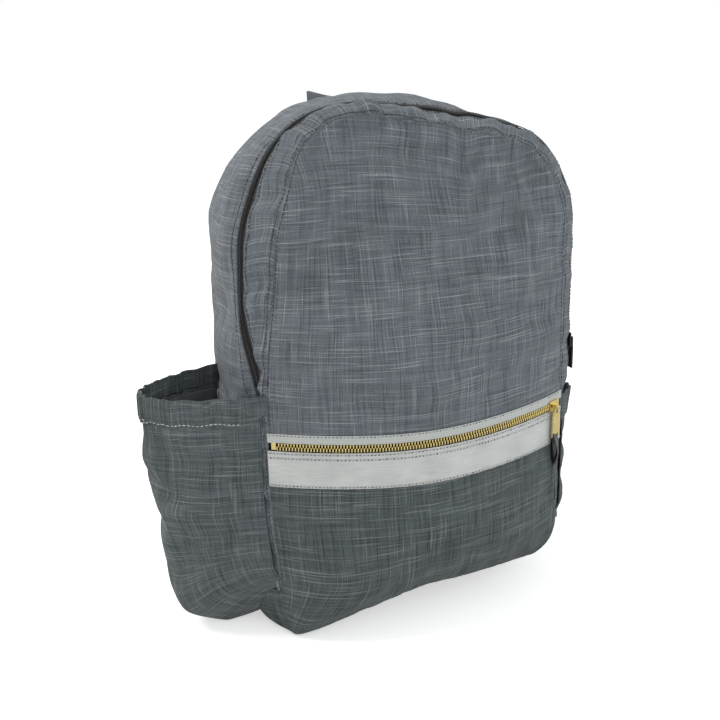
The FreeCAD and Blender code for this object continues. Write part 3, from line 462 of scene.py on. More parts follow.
def chambray(name, seed, base=(0.121, 0.136, 0.151), pale=(0.40, 0.425, 0.44), dark=(0.040, 0.049, 0.060)):
    material, tree, shader = node_material(name)
    pattern = put(tree, "ShaderNodeUVMap", uv_map="pattern")
    weave = put(tree, "ShaderNodeGroup", node_tree=SLUB_WEAVE)
    weave.inputs["Seed"].default_value = seed
    weave.inputs["Base"].default_value = (*base, 1)
    weave.inputs["Pale Yarn"].default_value = (*pale, 1)
    weave.inputs["Dark Yarn"].default_value = (*dark, 1)
    bump_node = put(tree, "ShaderNodeBump", Strength=0.45, Distance=0.0004)
    tree.links.new(pattern.outputs[0], weave.inputs["Pattern"])
    tree.links.new(weave.outputs["Color"], shader.inputs["Base Color"])
    tree.links.new(weave.outputs["Rough"], shader.inputs["Roughness"])
    tree.links.new(weave.outputs["Height"], bump_node.inputs["Height"])
    tree.links.new(bump_node.outputs[0], shader.inputs["Normal"])
    shader.inputs["Specular IOR Level"].default_value = 0.25
    shader.inputs["Sheen Weight"].default_value, shader.inputs["Sheen Roughness"].default_value = 0.06, 0.5
    return material


CHAMBRAY = chambray("chambray", 0.0)
GUSSET_CHAMBRAY = chambray("gusset_chambray", 5.0)
# The same chambray made darker: painted shade, standing in for the dimmer light on the side pockets.
SHADED_POCKET_CHAMBRAY = chambray("shaded_pocket_chambray", 11.0, (0.080, 0.094, 0.099), (0.31, 0.335, 0.34),
                           (0.020, 0.026, 0.029))
# The same chambray made darker: painted shade, standing in for the dimmer light on the lower front and the
# bottom.
SHADED_LOWER_CHAMBRAY = chambray("shaded_lower_chambray", 17.0, (0.072, 0.086, 0.088), (0.30, 0.325, 0.325),
                          (0.018, 0.024, 0.026))

LINING, tree, shader = node_material("lining_cloth")
fine = put(tree, "ShaderNodeUVMap", uv_map="pattern")
ripple = put(tree, "ShaderNodeTexNoise", Scale=900, Detail=1)
tint = put(tree, "ShaderNodeMix", data_type="RGBA")
tint.inputs[6].default_value, tint.inputs[7].default_value = (0.075, 0.082, 0.09, 1), (0.12, 0.13, 0.14, 1)
lift = put(tree, "ShaderNodeBump", Strength=0.3, Distance=0.0003)
tree.links.new(fine.outputs[0], ripple.inputs["Vector"])
tree.links.new(ripple.outputs[0], tint.inputs[0])
tree.links.new(tint.outputs[2], shader.inputs["Base Color"])
tree.links.new(ripple.outputs[0], lift.inputs["Height"])
tree.links.new(lift.outputs[0], shader.inputs["Normal"])
shader.inputs["Roughness"].default_value = 0.8

# ---- Front cloth --------------------------------------------------------------------
# One cut of chambray from the front zip up to the crown. It is sewn to the pocket's zip
# tape below, folds along the zip ends' line and is the opening flap above it.
UPPER_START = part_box("front_zip_upper_tape")[0].z + 0.0040
ACROSS = 97


def arch_rows(start, top, shoulder, step):
    straight = np.arange(start, top - shoulder, step)
    turn_steps = int(math.pi / 2 * shoulder / step)
    angles = np.linspace(0, math.pi / 2, turn_steps + 1)
    return np.concatenate([straight, top - shoulder + shoulder * np.sin(angles)])


def front_grid(levels, share_steps=ACROSS):
    share = np.linspace(-1, 1, share_steps)
    share = 0.75 * share + 0.25 * np.sin(share * math.pi / 2)
    z = np.repeat(levels[:, None], share_steps, 1)
    x = half_width(z, SEAM_HALF, SEAM_TOP, SEAM_SHOULDER) * share[None, :]
    y = front_depth(x, z)
    middle = share_steps // 2
    rise = run_along(np.stack([y[:, middle], z[:, middle]], 1))
    uv = np.stack([x * (1 + 0.06 * (x / SEAM_HALF) ** 2),
                   np.repeat((levels[0] + rise)[:, None], share_steps, 1)], -1)
    return np.stack([x, y, z], -1), uv, share


levels = arch_rows(UPPER_START, SEAM_TOP, SEAM_SHOULDER, 0.0026)
points, uv, share = front_grid(levels)
x, z = points[..., 0], points[..., 2]
inside = (1 - np.abs(share[None, :]) ** 6) * ease(SEAM_TOP - z, 0, 0.03) * ease(z, UPPER_START + 0.006,
                                                                                UPPER_START + 0.04)
folds = waves(x, z, [(0.0015, 0.085, 0.9, 0.4), (0.0012, 0.055, -0.5, 2.2), (0.0009, 0.038, 0.25, 4.1),
                     (0.0005, 0.030, 1.25, 1.0)])
fan_angle = np.arctan2(z - 0.395, x - 0.075)
fan_reach = np.hypot(z - 0.395, x - 0.075)
folds += 0.0016 * np.sin(fan_angle * 17 + 0.6) * bump(fan_reach, 0.085, 0.055)
points[..., 1] -= inside * folds
points[..., 1] += SEAM_TURN * ease(np.abs(share[None, :]), 0.965, 1.0)
points[..., 1] += SEAM_TURN * ease(z, SEAM_TOP - 0.0005, SEAM_TOP)
front_cloth = sheet_mesh("front_cloth", slump(points), uv)
held = np.maximum(edge_hold(*points.shape[:2]), 1 - ease(z, UPPER_START + 0.006, UPPER_START + 0.02))
settle(front_cloth, held.ravel(), slack=0.014, push=0.9, furthest=0.005)
FRONT = grid_of(front_cloth, *points.shape[:2])
finish_cloth(front_cloth, CHAMBRAY, LINING, held="stretched")
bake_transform(front_cloth)
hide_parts("upper_front_panel", "front_strip")

# ---- Lower front --------------------------------------------------------------------
# The pocket's outer face, below the front zip: chambray again, stretched over the load
# and sewn round the foot of the bag. A thin lining behind it closes the pocket.
LOWER_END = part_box("lower_front_panel")[1].z
levels = np.concatenate([FOOT * (1 - np.cos(np.linspace(0, math.pi / 2, 14)[:-1])),
                         np.arange(FOOT, LOWER_END - 0.001, 0.0028), [LOWER_END]])
points, uv, share = front_grid(levels)
x, z = points[..., 0], points[..., 2]
inside = (1 - np.abs(share[None, :]) ** 6) * ease(z, 0, 0.02) * ease(LOWER_END - z, 0.026, 0.050)
folds = waves(x, z, [(0.0009, 0.070, -0.6, 1.4), (0.0007, 0.042, 0.35, 3.0), (0.0005, 0.031, 1.1, 0.2)])
points[..., 1] -= inside * folds
points[..., 1] += SEAM_TURN * ease(np.abs(share[None, :]), 0.965,
                                   1.0) + SEAM_TURN * (1 - ease(z, 0.0, 0.0012))
lower_cloth = sheet_mesh("lower_cloth", slump(points), uv + np.array([0.31, 0.0]))
held = np.maximum(edge_hold(*points.shape[:2]), ease(z, LOWER_END - 0.036, LOWER_END - 0.026))
settle(lower_cloth, held.ravel(), slack=0.014, push=0.9, furthest=0.004)
# The lower front takes the darker chambray copy: painted shade.
finish_cloth(lower_cloth, SHADED_LOWER_CHAMBRAY, LINING, held="stretched")
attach(lower_cloth, "bag")
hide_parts("lower_front_panel")

levels = arch_rows(0.004, FOLD - 0.003, 0.001, 0.008)
points, uv, share = front_grid(levels, 41)
points[..., 0] *= 0.975
points[..., 1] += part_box("front_pocket_lining")[0].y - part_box("lower_front_panel")[0].y
points[..., 1] = np.minimum(points[..., 1], SEAM + 0.012)
pocket_lining = sheet_mesh("pocket_lining", slump(points), uv)
finish_cloth(pocket_lining, LINING, thick=0.001, held="hung")
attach(pocket_lining, "bag")
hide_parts("front_pocket_lining")

# ---- Gussets and bottom -------------------------------------------------------------
# The long strips between front and back: a narrow front gusset and a deep rear gusset with
# the main zip between them, both running into one closed side below the zip's ends.
STRETCHES = (("bottom", 20), ("foot", 11), ("side", 74), ("shoulder", 46), ("crown", 12))


def half_loop(half, top, shoulder, foot=FOOT):
    """Points from the middle of the bottom, up the left side to the middle of the crown."""
    parts = []
    for stretch, steps in STRETCHES:
        t = np.linspace(0, 1, steps + 1)[:-1]
        if stretch == "bottom":
            parts.append(np.stack([-(half - foot) * t, 0 * t], 1))
        elif stretch == "foot":
            parts.append(np.stack([-(half - foot) - foot * np.sin(t * math.pi / 2),
                                   foot - foot * np.cos(t * math.pi / 2)], 1))
        elif stretch == "side":
            parts.append(np.stack([-half + 0 * t, foot + (top - shoulder - foot) * t], 1))
        elif stretch == "shoulder":
            parts.append(np.stack([-(half - shoulder) - shoulder * np.cos(t * math.pi / 2),
                                   top - shoulder + shoulder * np.sin(t * math.pi / 2)], 1))
        else:
            parts.append(np.stack([-(half - shoulder) * (1 - t), top + 0 * t], 1))
    left = np.concatenate([*parts, [(0, top)]])
    return np.concatenate([left, left[-2:0:-1] * (-1, 1), left[:1]])


LOOP = len(half_loop(HALF, TOP, SHOULDER))
UP_LENGTH = run_along(half_loop(HALF, TOP, SHOULDER))


def zip_line(y_shift=0.0):
    """Where the main zip runs along the loop: straight round the arch, but on the left its
    lower end comes forward and meets the front seam at the pocket's corner."""
    outline = half_loop(HALF, TOP, SHOULDER)
    forward_run = ease(-outline[:, 0], 0.05, 0.13) * (1 - ease(outline[:, 1], 0.172, 0.262))
    return ZIP + y_shift - 0.0135 * forward_run


def away_from_middle(outline):
    away = outline - LOAD_MIDDLE
    return away / np.linalg.norm(away, axis=-1, keepdims=True)


def ring(shares, front_y, back_y, swell):
    """A strip of the bag's sides: one row of loop points for each share of its depth."""
    rows = []
    for k, share in enumerate(shares):
        y = (front_y + (back_y - front_y) * share) * np.ones(LOOP)
        toward = ease(y, SEAM, ZIP)
        flat = half_loop(SEAM_HALF, SEAM_TOP, SEAM_SHOULDER)
        full = half_loop(HALF, TOP, SHOULDER)
        outline = flat * (1 - toward)[:, None] + full * toward[:, None]
        away = away_from_middle(outline)
        rise = ease(outline[:, 1], 0.0, 0.05)
        outline = outline + away * (swell * math.sin(math.pi * share) * rise)[:, None]
        rows.append(np.stack([outline[:, 0], y, outline[:, 1]], 1))
    return np.array(rows)


def ring_uv(points, offset=(0, 0)):
    depth = points[..., 1]
    return np.stack([depth + offset[0], np.repeat(UP_LENGTH[None, :], points.shape[0], 0) + offset[1]], -1)


def tuck_edges(points, first=0.0032, last=0.0010):
    """Turns the first and last rows of a strip in, as its seam allowance does."""
    away = away_from_middle(points[..., (0, 2)])
    for row, depth in ((0, first), (1, first * 0.3), (-2, last * 0.3), (-1, last)):
        points[row, :, 0] -= away[row, :, 0] * depth
        points[row, :, 2] -= away[row, :, 1] * depth * (points[row, :, 2] > 0.004)
    return points


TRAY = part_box("rear_gusset")[0].z
LOOP_Z = half_loop(HALF, TOP, SHOULDER)[:, 1]
sides = np.flatnonzero(LOOP_Z > TRAY)
FIRST, LAST = sides[0] - 1, sides[-1] + 2
ZIP_EDGE = 0.0017
open_share = ease(LOOP_Z, FOLD + 0.002, FOLD + 0.016)

gusset_shares = np.array([0, 0.05, 0.15, 0.28, 0.42, 0.56, 0.70, 0.83, 0.94, 1.0])
points = ring(gusset_shares, SEAM, zip_line() - ZIP_EDGE * open_share, 0.0022)
x, z = points[..., 0], points[..., 2]
rise = np.sin(np.pi * gusset_shares)[:, None] * ease(z, 0.34, 0.38)
points[..., 2] += rise * (0.0036 * bump(x, -0.036, 0.042) - 0.0010 * bump(x, 0.022, 0.024))
ripple = waves(points[..., 1] * 1.5, np.repeat(UP_LENGTH[None, :], len(gusset_shares), 0),
               [(0.0014, 0.034, 0.15, 0.5), (0.0010, 0.021, -0.2, 2.0)]) * np.sin(np.pi
                                                                                  * gusset_shares)[:, None]
out = away_from_middle(points[..., (0, 2)])
points[..., 0] += out[..., 0] * ripple
points[..., 2] += out[..., 1] * ripple
points = slump(tuck_edges(points))[:, FIRST:LAST]
uv = ring_uv(ring(gusset_shares, SEAM, zip_line(), 0))[:, FIRST:LAST]
front_gusset = sheet_mesh("front_gusset", points, uv)
settle(front_gusset, edge_hold(*points.shape[:2]).ravel(), slack=0.02, push=0.4, furthest=0.003)
FRONT_GUSSET = grid_of(front_gusset, *points.shape[:2])
finish_cloth(front_gusset, GUSSET_CHAMBRAY, LINING, held="stretched")
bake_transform(front_gusset)
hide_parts("flap_gusset", "left_front_gusset", "right_front_gusset")

side_shares = np.concatenate([[0, 0.012], np.linspace(0.035, 0.965, 27), [0.988, 1.0]])
points = ring(side_shares, zip_line() + ZIP_EDGE * open_share, BACK, 0.0015)
flow = np.repeat(UP_LENGTH[None, :], len(side_shares), 0)
ripple = waves(points[..., 1], flow, [(0.0016, 0.090, 0.5, 0.9), (0.0011, 0.055, -0.3, 2.4),
                                      (0.0007, 0.034, 0.9, 4.0)]) * np.sin(np.pi
                                                                           * side_shares)[:, None] ** 0.7
out = away_from_middle(points[..., (0, 2)])
points[..., 0] += out[..., 0] * ripple
points[..., 2] += out[..., 1] * ripple
points = slump(tuck_edges(points, 0.0010, 0.0020))[:, FIRST:LAST]
uv = ring_uv(ring(side_shares, zip_line(), BACK, 0), (0.4, 0.02))[:, FIRST:LAST]
rear_gusset = sheet_mesh("rear_gusset_cloth", points, uv)
settle(rear_gusset, edge_hold(*points.shape[:2]).ravel(), slack=0.014, push=0.5, furthest=0.004)
REAR_GUSSET = grid_of(rear_gusset, *points.shape[:2])
finish_cloth(rear_gusset, GUSSET_CHAMBRAY, LINING, held="stretched")
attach(rear_gusset, "bag")
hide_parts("rear_gusset")

bottom_shares = np.concatenate([[0, 0.012], np.linspace(0.03, 0.97, 32), [0.988, 1.0]])
points = slump(tuck_edges(ring(bottom_shares, SEAM, BACK, 0.0)))
under = np.r_[LAST - 1:LOOP, 1:FIRST + 1]
uv = ring_uv(ring(bottom_shares, SEAM, BACK, 0.0))
lengths = run_along(points[5, under][:, (0, 2)])
uv = np.stack([uv[:, under, 0], np.repeat(lengths[None, :], len(bottom_shares), 0)], -1)
bottom_cloth = sheet_mesh("bottom_cloth", points[:, under], uv)
# The bottom takes the darker chambray copy: painted shade.
finish_cloth(bottom_cloth, SHADED_LOWER_CHAMBRAY, LINING, held="stretched")
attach(bottom_cloth, "bag")
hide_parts("bottom_panel")

# ---- Back ---------------------------------------------------------------------------
# A foam board between chambray and lining: the bag's stiffest panel, sewn to the rear
# gusset all round. Its cloth stands a little proud over the foam.
def arch_face(levels, y, inset, columns):
    share = np.linspace(-1, 1, columns)
    share = 0.75 * share + 0.25 * np.sin(share * math.pi / 2)
    z = np.repeat(levels[:, None], columns, 1)
    x = (half_width(z, HALF, TOP, SHOULDER) - inset) * share[None, :]
    return np.stack([x, np.full(x.shape, y), z], -1), np.stack([x + 0.7, z], -1), share


levels = np.concatenate([FOOT * (1 - np.cos(np.linspace(0, math.pi / 2, 11)[:-1])),
                         arch_rows(FOOT, TOP, SHOULDER, 0.0036)])
points, uv, share = arch_face(levels, BACK, 0.0, 81)
x, z = points[..., 0], points[..., 2]
edge = np.minimum(half_width(z, HALF, TOP, SHOULDER) * (1 - np.abs(share[None, :])),
                  np.minimum(z, TOP - z) * 1.2)
points[..., 1] += 0.0034 * ease(edge, 0.002, 0.018) - 0.0022 * (1 - ease(edge, 0, 0.0022))
points[..., 1] += waves(x, z, [(0.0005, 0.08, 0.7, 1.0), (0.0004, 0.05, -0.6, 3.0)]) * ease(edge, 0.01, 0.03)
back_cloth = sheet_mesh("back_cloth", slump(points)[:, ::-1], uv[:, ::-1])
finish_cloth(back_cloth, CHAMBRAY, held="stretched")
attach(back_cloth, "bag")
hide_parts("back_panel", "back_foam")

levels = np.concatenate([[0.002, 0.012, 0.022], arch_rows(0.030, TOP - 0.002, SHOULDER, 0.009)])
points, uv, share = arch_face(levels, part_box("back_lining")[0].y, 0.002, 41)
points[..., 1] += waves(points[..., 0], points[..., 2], [(0.0010, 0.11, 0.7, 1.0), (0.0007, 0.06, -0.6, 3.0)])
back_lining = sheet_mesh("back_lining_cloth", slump(points), uv)
finish_cloth(back_lining, LINING, thick=0.001, out=1.0, held="stretched")
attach(back_lining, "bag")
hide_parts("back_lining")

# ---- Main zip -----------------------------------------------------------------------
# A black coil zip on woven tape round the whole arch: the front row and tape lie on the flap's
# side and are baked where they lie, the rear ones are attached to the bag, and both end at small crimped stops.
def repeat_along():
    """Sets a small piece at even steps along every line, turned to the line's way and to the
    outward direction stored on it."""
    tree = bpy.data.node_groups.new("repeat_along", "GeometryNodeTree")
    face = tree.interface
    face.new_socket(name="Lines", in_out="INPUT", socket_type="NodeSocketGeometry")
    for title, kind in (("Piece", "NodeSocketObject"), ("Pitch", "NodeSocketFloat"),
                        ("Size", "NodeSocketVector"),
                        ("Unevenness", "NodeSocketFloat"), ("Seed", "NodeSocketInt"),
                        ("Finish", "NodeSocketMaterial")):
        face.new_socket(name=title, in_out="INPUT", socket_type=kind)
    face.new_socket(name="Pieces", in_out="OUTPUT", socket_type="NodeSocketGeometry")
    given, made = tree.nodes.new("NodeGroupInput"), tree.nodes.new("NodeGroupOutput")
    link = tree.links.new
    curve = tree.nodes.new("GeometryNodeMeshToCurve")
    evenly = tree.nodes.new("GeometryNodeResampleCurve")
    evenly.mode = "LENGTH"
    tangent = tree.nodes.new("GeometryNodeInputTangent")
    outward = tree.nodes.new("GeometryNodeInputNamedAttribute")
    outward.data_type = "FLOAT_VECTOR"
    outward.inputs["Name"].default_value = "outward"
    first = tree.nodes.new("FunctionNodeAlignRotationToVector")
    first.axis = "X"
    second = tree.nodes.new("FunctionNodeAlignRotationToVector")
    second.axis, second.pivot_axis = "Z", "X"
    chance = tree.nodes.new("FunctionNodeRandomValue")
    chance.data_type = "FLOAT"
    low, high = tree.nodes.new("ShaderNodeMath"), tree.nodes.new("ShaderNodeMath")
    low.operation, high.operation = "SUBTRACT", "ADD"
    low.inputs[0].default_value = high.inputs[0].default_value = 1.0
    scale = tree.nodes.new("ShaderNodeVectorMath")
    scale.operation = "SCALE"
    shape = tree.nodes.new("GeometryNodeObjectInfo")
    place = tree.nodes.new("GeometryNodeInstanceOnPoints")
    real, paint = tree.nodes.new("GeometryNodeRealizeInstances"), tree.nodes.new("GeometryNodeSetMaterial")
    link(given.outputs["Lines"], curve.inputs["Mesh"])
    link(curve.outputs["Curve"], evenly.inputs["Curve"])
    link(given.outputs["Pitch"], evenly.inputs["Length"])
    link(tangent.outputs[0], first.inputs["Vector"])
    link(first.outputs[0], second.inputs["Rotation"])
    link(outward.outputs["Attribute"], second.inputs["Vector"])
    link(given.outputs["Unevenness"], low.inputs[1])
    link(given.outputs["Unevenness"], high.inputs[1])
    floats = [socket for socket in chance.inputs if socket.type == "VALUE" and socket.enabled]
    link(low.outputs[0], floats[0])
    link(high.outputs[0], floats[1])
    link(given.outputs["Seed"], chance.inputs["Seed"])
    link(given.outputs["Size"], scale.inputs[0])
    value = [socket for socket in chance.outputs if socket.type == "VALUE" and socket.enabled][0]
    link(value, scale.inputs["Scale"])
    link(given.outputs["Piece"], shape.inputs["Object"])
    link(evenly.outputs["Curve"], place.inputs["Points"])
    link(shape.outputs["Geometry"], place.inputs["Instance"])
    link(second.outputs[0], place.inputs["Rotation"])
    link(scale.outputs[0], place.inputs["Scale"])
    link(place.outputs["Instances"], real.inputs["Geometry"])
    link(real.outputs["Geometry"], paint.inputs["Geometry"])
    link(given.outputs["Finish"], paint.inputs["Material"])
    link(paint.outputs["Geometry"], made.inputs["Pieces"])
    return tree


REPEAT_ALONG = repeat_along()


def along(name, lines, outs, piece, pitch, finish, size=(1, 1, 1), unevenness=0.0, seed=1):
    verts, edges, facing = [], [], []
    for line, out in zip(lines, outs):
        edges += [(len(verts) + k, len(verts) + k + 1) for k in range(len(line) - 1)]
        verts += [tuple(p) for p in line]
        facing += [tuple(o) for o in out]
    mesh = bpy.data.meshes.new(name)
    mesh.from_pydata(verts, edges, [])
    attribute = mesh.attributes.new("outward", "FLOAT_VECTOR", "POINT")
    attribute.data.foreach_set("vector", np.array(facing, np.float32).ravel())
    made = bpy.data.objects.new(name, mesh)
    scene.collection.objects.link(made)
    modifier = made.modifiers.new("repeat", "NODES")
    modifier.node_group = REPEAT_ALONG
    chosen = {"Piece": piece, "Pitch": pitch, "Size": size, "Unevenness": unevenness, "Seed": seed,
              "Finish": finish}
    for item in REPEAT_ALONG.interface.items_tree:
        if item.in_out == "INPUT" and item.name in chosen:
            modifier[item.identifier] = chosen[item.name]
    apply_modifiers(made)
    made.data.polygons.foreach_set("use_smooth", [True] * len(made.data.polygons))
    return made


def loose_piece(name, build):
    """A small shape that only the repeats use."""
    mesh = bpy.data.meshes.new(name)
    shape = bmesh.new()
    build(shape)
    shape.to_mesh(mesh)
    shape.free()
    piece = bpy.data.objects.new(name, mesh)
    return piece


def one_stitch(shape):
    bmesh.ops.create_uvsphere(shape, u_segments=6, v_segments=4, radius=0.5)
    bmesh.ops.rotate(shape, verts=shape.verts, matrix=Matrix.Rotation(math.pi / 2, 3, "Y"))


def coil_turn(shape):
    """One turn of the nylon coil: a rounded loop lying across the chain."""
    ring_points = [(math.cos(a) * 1.0, math.sin(a) * 0.75) for a in np.linspace(0, 2 * math.pi, 9)[:-1]]
    rows = []
    for a, b in ring_points:
        rows.append([shape.verts.new((0.28 * math.cos(t), a * (1 + 0.28 * math.sin(t)),
                                      b * (1 + 0.34 * math.sin(t))))
                     for t in np.linspace(0, 2 * math.pi, 5)[:-1]])
    for k in range(8):
        for m in range(4):
            shape.faces.new((rows[k][m], rows[(k + 1) % 8][m], rows[(k + 1) % 8][(m + 1) % 4],
                             rows[k][(m + 1) % 4]))
    bmesh.ops.recalc_face_normals(shape, faces=shape.faces)


STITCH, COIL_TURN = loose_piece("stitch_shape", one_stitch), loose_piece("coil_shape", coil_turn)

THREAD, tree, shader = node_material("dark_thread")
shader.inputs["Base Color"].default_value = (0.05, 0.058, 0.066, 1)
shader.inputs["Roughness"].default_value = 0.6
place = put(tree, "ShaderNodeTexCoord")
twist = put(tree, "ShaderNodeTexNoise")
twist.inputs["Scale"].default_value = 1500
shade = put(tree, "ShaderNodeMix", data_type="RGBA")
shade.inputs[6].default_value, shade.inputs[7].default_value = (0.012, 0.014, 0.017,
                                                                1), (0.040, 0.045, 0.050, 1)
tree.links.new(place.outputs["Object"], twist.inputs["Vector"])
tree.links.new(twist.outputs[0], shade.inputs[0])
tree.links.new(shade.outputs[2], shader.inputs["Base Color"])


def plain_weave_material(name, first, second, threads, rough, ribbed=False, strength=0.4):
    """A narrow woven tape or webbing: two close tones, its ribs across or its weave crossed."""
    material, tree, shader = node_material(name)
    pattern = put(tree, "ShaderNodeUVMap", uv_map="pattern")
    apart = put(tree, "ShaderNodeSeparateXYZ")
    tree.links.new(pattern.outputs[0], apart.inputs[0])
    waves_made = []
    for axis in (0, 1):
        scaled = put(tree, "ShaderNodeMath", operation="MULTIPLY")
        scaled.inputs[1].default_value = threads * 2 * math.pi * (0.5 if axis and ribbed else 1)
        wave = put(tree, "ShaderNodeMath", operation="SINE")
        tree.links.new(apart.outputs[axis], scaled.inputs[0])
        tree.links.new(scaled.outputs[0], wave.inputs[0])
        waves_made.append(wave)
    cross = put(tree, "ShaderNodeMath", operation="ADD" if ribbed else "MULTIPLY")
    tree.links.new(waves_made[0].outputs[0], cross.inputs[0])
    tree.links.new(waves_made[1].outputs[0], cross.inputs[1])
    level_out = put(tree, "ShaderNodeMapRange", From_Min=-1.5, From_Max=1.5)
    tree.links.new(cross.outputs[0], level_out.inputs["Value"])
    cloud = put(tree, "ShaderNodeTexNoise", Scale=90, Detail=3)
    tree.links.new(pattern.outputs[0], cloud.inputs["Vector"])
    both = put(tree, "ShaderNodeMath", operation="MULTIPLY_ADD")
    both.inputs[1].default_value = 0.5
    tree.links.new(cloud.outputs[0], both.inputs[0])
    half = put(tree, "ShaderNodeMath", operation="MULTIPLY")
    half.inputs[1].default_value = 0.6
    tree.links.new(level_out.outputs[0], half.inputs[0])
    tree.links.new(half.outputs[0], both.inputs[2])
    tone = put(tree, "ShaderNodeMix", data_type="RGBA")
    tone.inputs[6].default_value, tone.inputs[7].default_value = (*first, 1), (*second, 1)
    tree.links.new(both.outputs[0], tone.inputs[0])
    lift = put(tree, "ShaderNodeBump", Strength=strength, Distance=0.0003)
    tree.links.new(level_out.outputs[0], lift.inputs["Height"])
    tree.links.new(lift.outputs[0], shader.inputs["Normal"])
    tree.links.new(tone.outputs[2], shader.inputs["Base Color"])
    shader.inputs["Roughness"].default_value = rough
    return material


BLACK_TAPE = plain_weave_material("black_tape", (0.010, 0.010, 0.011), (0.026, 0.026, 0.028), 1400, 0.7)
BLACK_COIL, tree, shader = node_material("black_nylon")
place = put(tree, "ShaderNodeTexCoord")
wear = put(tree, "ShaderNodeTexNoise")
wear.inputs["Scale"].default_value = 400
dull = put(tree, "ShaderNodeMapRange", To_Min=0.30, To_Max=0.52)
tree.links.new(place.outputs["Object"], wear.inputs["Vector"])
tree.links.new(wear.outputs[0], dull.inputs["Value"])
tree.links.new(dull.outputs[0], shader.inputs["Roughness"])
shader.inputs["Base Color"].default_value = (0.014, 0.014, 0.015, 1)


def loop_line(y_line, out):
    """A line round the loop at a given depth, pushed out from the cloth, as it lies after the slump."""
    toward = ease(y_line, SEAM, ZIP)[:, None]
    outline = half_loop(SEAM_HALF, SEAM_TOP,
                        SEAM_SHOULDER) * (1 - toward) + half_loop(HALF, TOP, SHOULDER) * toward
    away = away_from_middle(outline)
    outline = outline + away * out
    points = slump(np.stack([outline[:, 0], y_line * np.ones(LOOP), outline[:, 1]], 1))
    return points, np.stack([away[:, 0], 0 * y_line, away[:, 1]], 1)


ZIP_RUN = np.flatnonzero(LOOP_Z > FOLD + 0.006)
for row, body, side in (("front", "flap", -1), ("rear", "bag", 1)):
    rows = [loop_line(zip_line(side * at), out) for at, out in
            ((0.0003, -0.0012), (0.0016, -0.0010), (0.0034, -0.0016), (0.0054, -0.0030), (0.0075, -0.0032))]
    tape_points = np.array([line[ZIP_RUN] for line, _ in rows])
    tape_uv = np.stack([np.repeat(np.array([0, 0.0013, 0.0031, 0.0051, 0.0072])[:, None], len(ZIP_RUN), 1),
                        np.repeat(UP_LENGTH[ZIP_RUN][None, :], 5, 0)], -1)
    order = slice(None) if side > 0 else slice(None, None, -1)
    tape = sheet_mesh(f"main_zip_tape_{row}", tape_points[order][::-1], tape_uv[order][::-1])
    finish_cloth(tape, BLACK_TAPE, thick=0.0006)
    line, out = loop_line(zip_line(side * 0.00125), 0.0006)
    coil = along(f"main_zip_coil_{row}", [line[ZIP_RUN]], [out[ZIP_RUN]], COIL_TURN, 0.00125, BLACK_COIL,
                 size=(0.0010, 0.00105, 0.0012))
    for piece, node, slot in ((tape, f"main_zip_{row}_tape", "black_tape"),
                              (coil, f"main_zip_{row}_coil", "black_coil")):
        if body == "flap":
            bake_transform(piece)
        else:
            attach(piece, "bag")
        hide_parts(node)

# ---- Front zip and ribbon -----------------------------------------------------------
# A brass zip across the front. Its lower tape is hidden by a satin ribbon that is stitched
# down along both edges, and its upper tape shows as a narrow pale strip.
def satin(name, first, second, gloss):
    material, tree, shader = node_material(name)
    pattern = put(tree, "ShaderNodeUVMap", uv_map="pattern")
    apart = put(tree, "ShaderNodeSeparateXYZ")
    tree.links.new(pattern.outputs[0], apart.inputs[0])
    squeezed = put(tree, "ShaderNodeCombineXYZ")
    for axis, times in ((0, 60.0), (1, 1600.0)):
        scaled = put(tree, "ShaderNodeMath", operation="MULTIPLY")
        scaled.inputs[1].default_value = times
        tree.links.new(apart.outputs[axis], scaled.inputs[0])
        tree.links.new(scaled.outputs[0], squeezed.inputs[axis])
    streak = put(tree, "ShaderNodeTexNoise", Scale=1.0, Detail=2.0)
    tree.links.new(squeezed.outputs[0], streak.inputs["Vector"])
    cloud = put(tree, "ShaderNodeTexNoise", Scale=45, Detail=3)
    tree.links.new(pattern.outputs[0], cloud.inputs["Vector"])
    mixed = put(tree, "ShaderNodeMath", operation="ADD")
    tree.links.new(streak.outputs[0], mixed.inputs[0])
    tree.links.new(cloud.outputs[0], mixed.inputs[1])
    spread = put(tree, "ShaderNodeMapRange", From_Min=0.7, From_Max=1.3)
    tree.links.new(mixed.outputs[0], spread.inputs["Value"])
    tone = put(tree, "ShaderNodeMix", data_type="RGBA")
    tone.inputs[6].default_value, tone.inputs[7].default_value = (*first, 1), (*second, 1)
    tree.links.new(spread.outputs[0], tone.inputs[0])
    lift = put(tree, "ShaderNodeBump", Strength=0.25, Distance=0.0003)
    tree.links.new(streak.outputs[0], lift.inputs["Height"])
    tree.links.new(lift.outputs[0], shader.inputs["Normal"])
    tree.links.new(tone.outputs[2], shader.inputs["Base Color"])
    shader.inputs["Roughness"].default_value = gloss
    shader.inputs["Specular IOR Level"].default_value = 0.55
    return material


SATIN = satin("pale_satin", (0.41, 0.42, 0.41), (0.54, 0.55, 0.54), 0.42)
PALE_TAPE = plain_weave_material("pale_tape", (0.36, 0.38, 0.36), (0.47, 0.49, 0.47), 900, 0.6, ribbed=True)
PALE_THREAD, tree, shader = node_material("pale_thread")
place, twist, shade = put(tree, "ShaderNodeTexCoord"), put(tree,
                                                           "ShaderNodeTexNoise"), put(tree, "ShaderNodeMix", data_type="RGBA")
twist.inputs["Scale"].default_value = 1500
shade.inputs[6].default_value, shade.inputs[7].default_value = (0.30, 0.31, 0.30, 1), (0.55, 0.56, 0.55, 1)
tree.links.new(place.outputs["Object"], twist.inputs["Vector"])
tree.links.new(twist.outputs[0], shade.inputs[0])
tree.links.new(shade.outputs[2], shader.inputs["Base Color"])
shader.inputs["Roughness"].default_value = 0.55
BRASS, tree, shader = node_material("brass")
place, fleck, dull = put(tree, "ShaderNodeTexCoord"), put(tree,
                                                          "ShaderNodeTexNoise"), put(tree, "ShaderNodeMapRange")
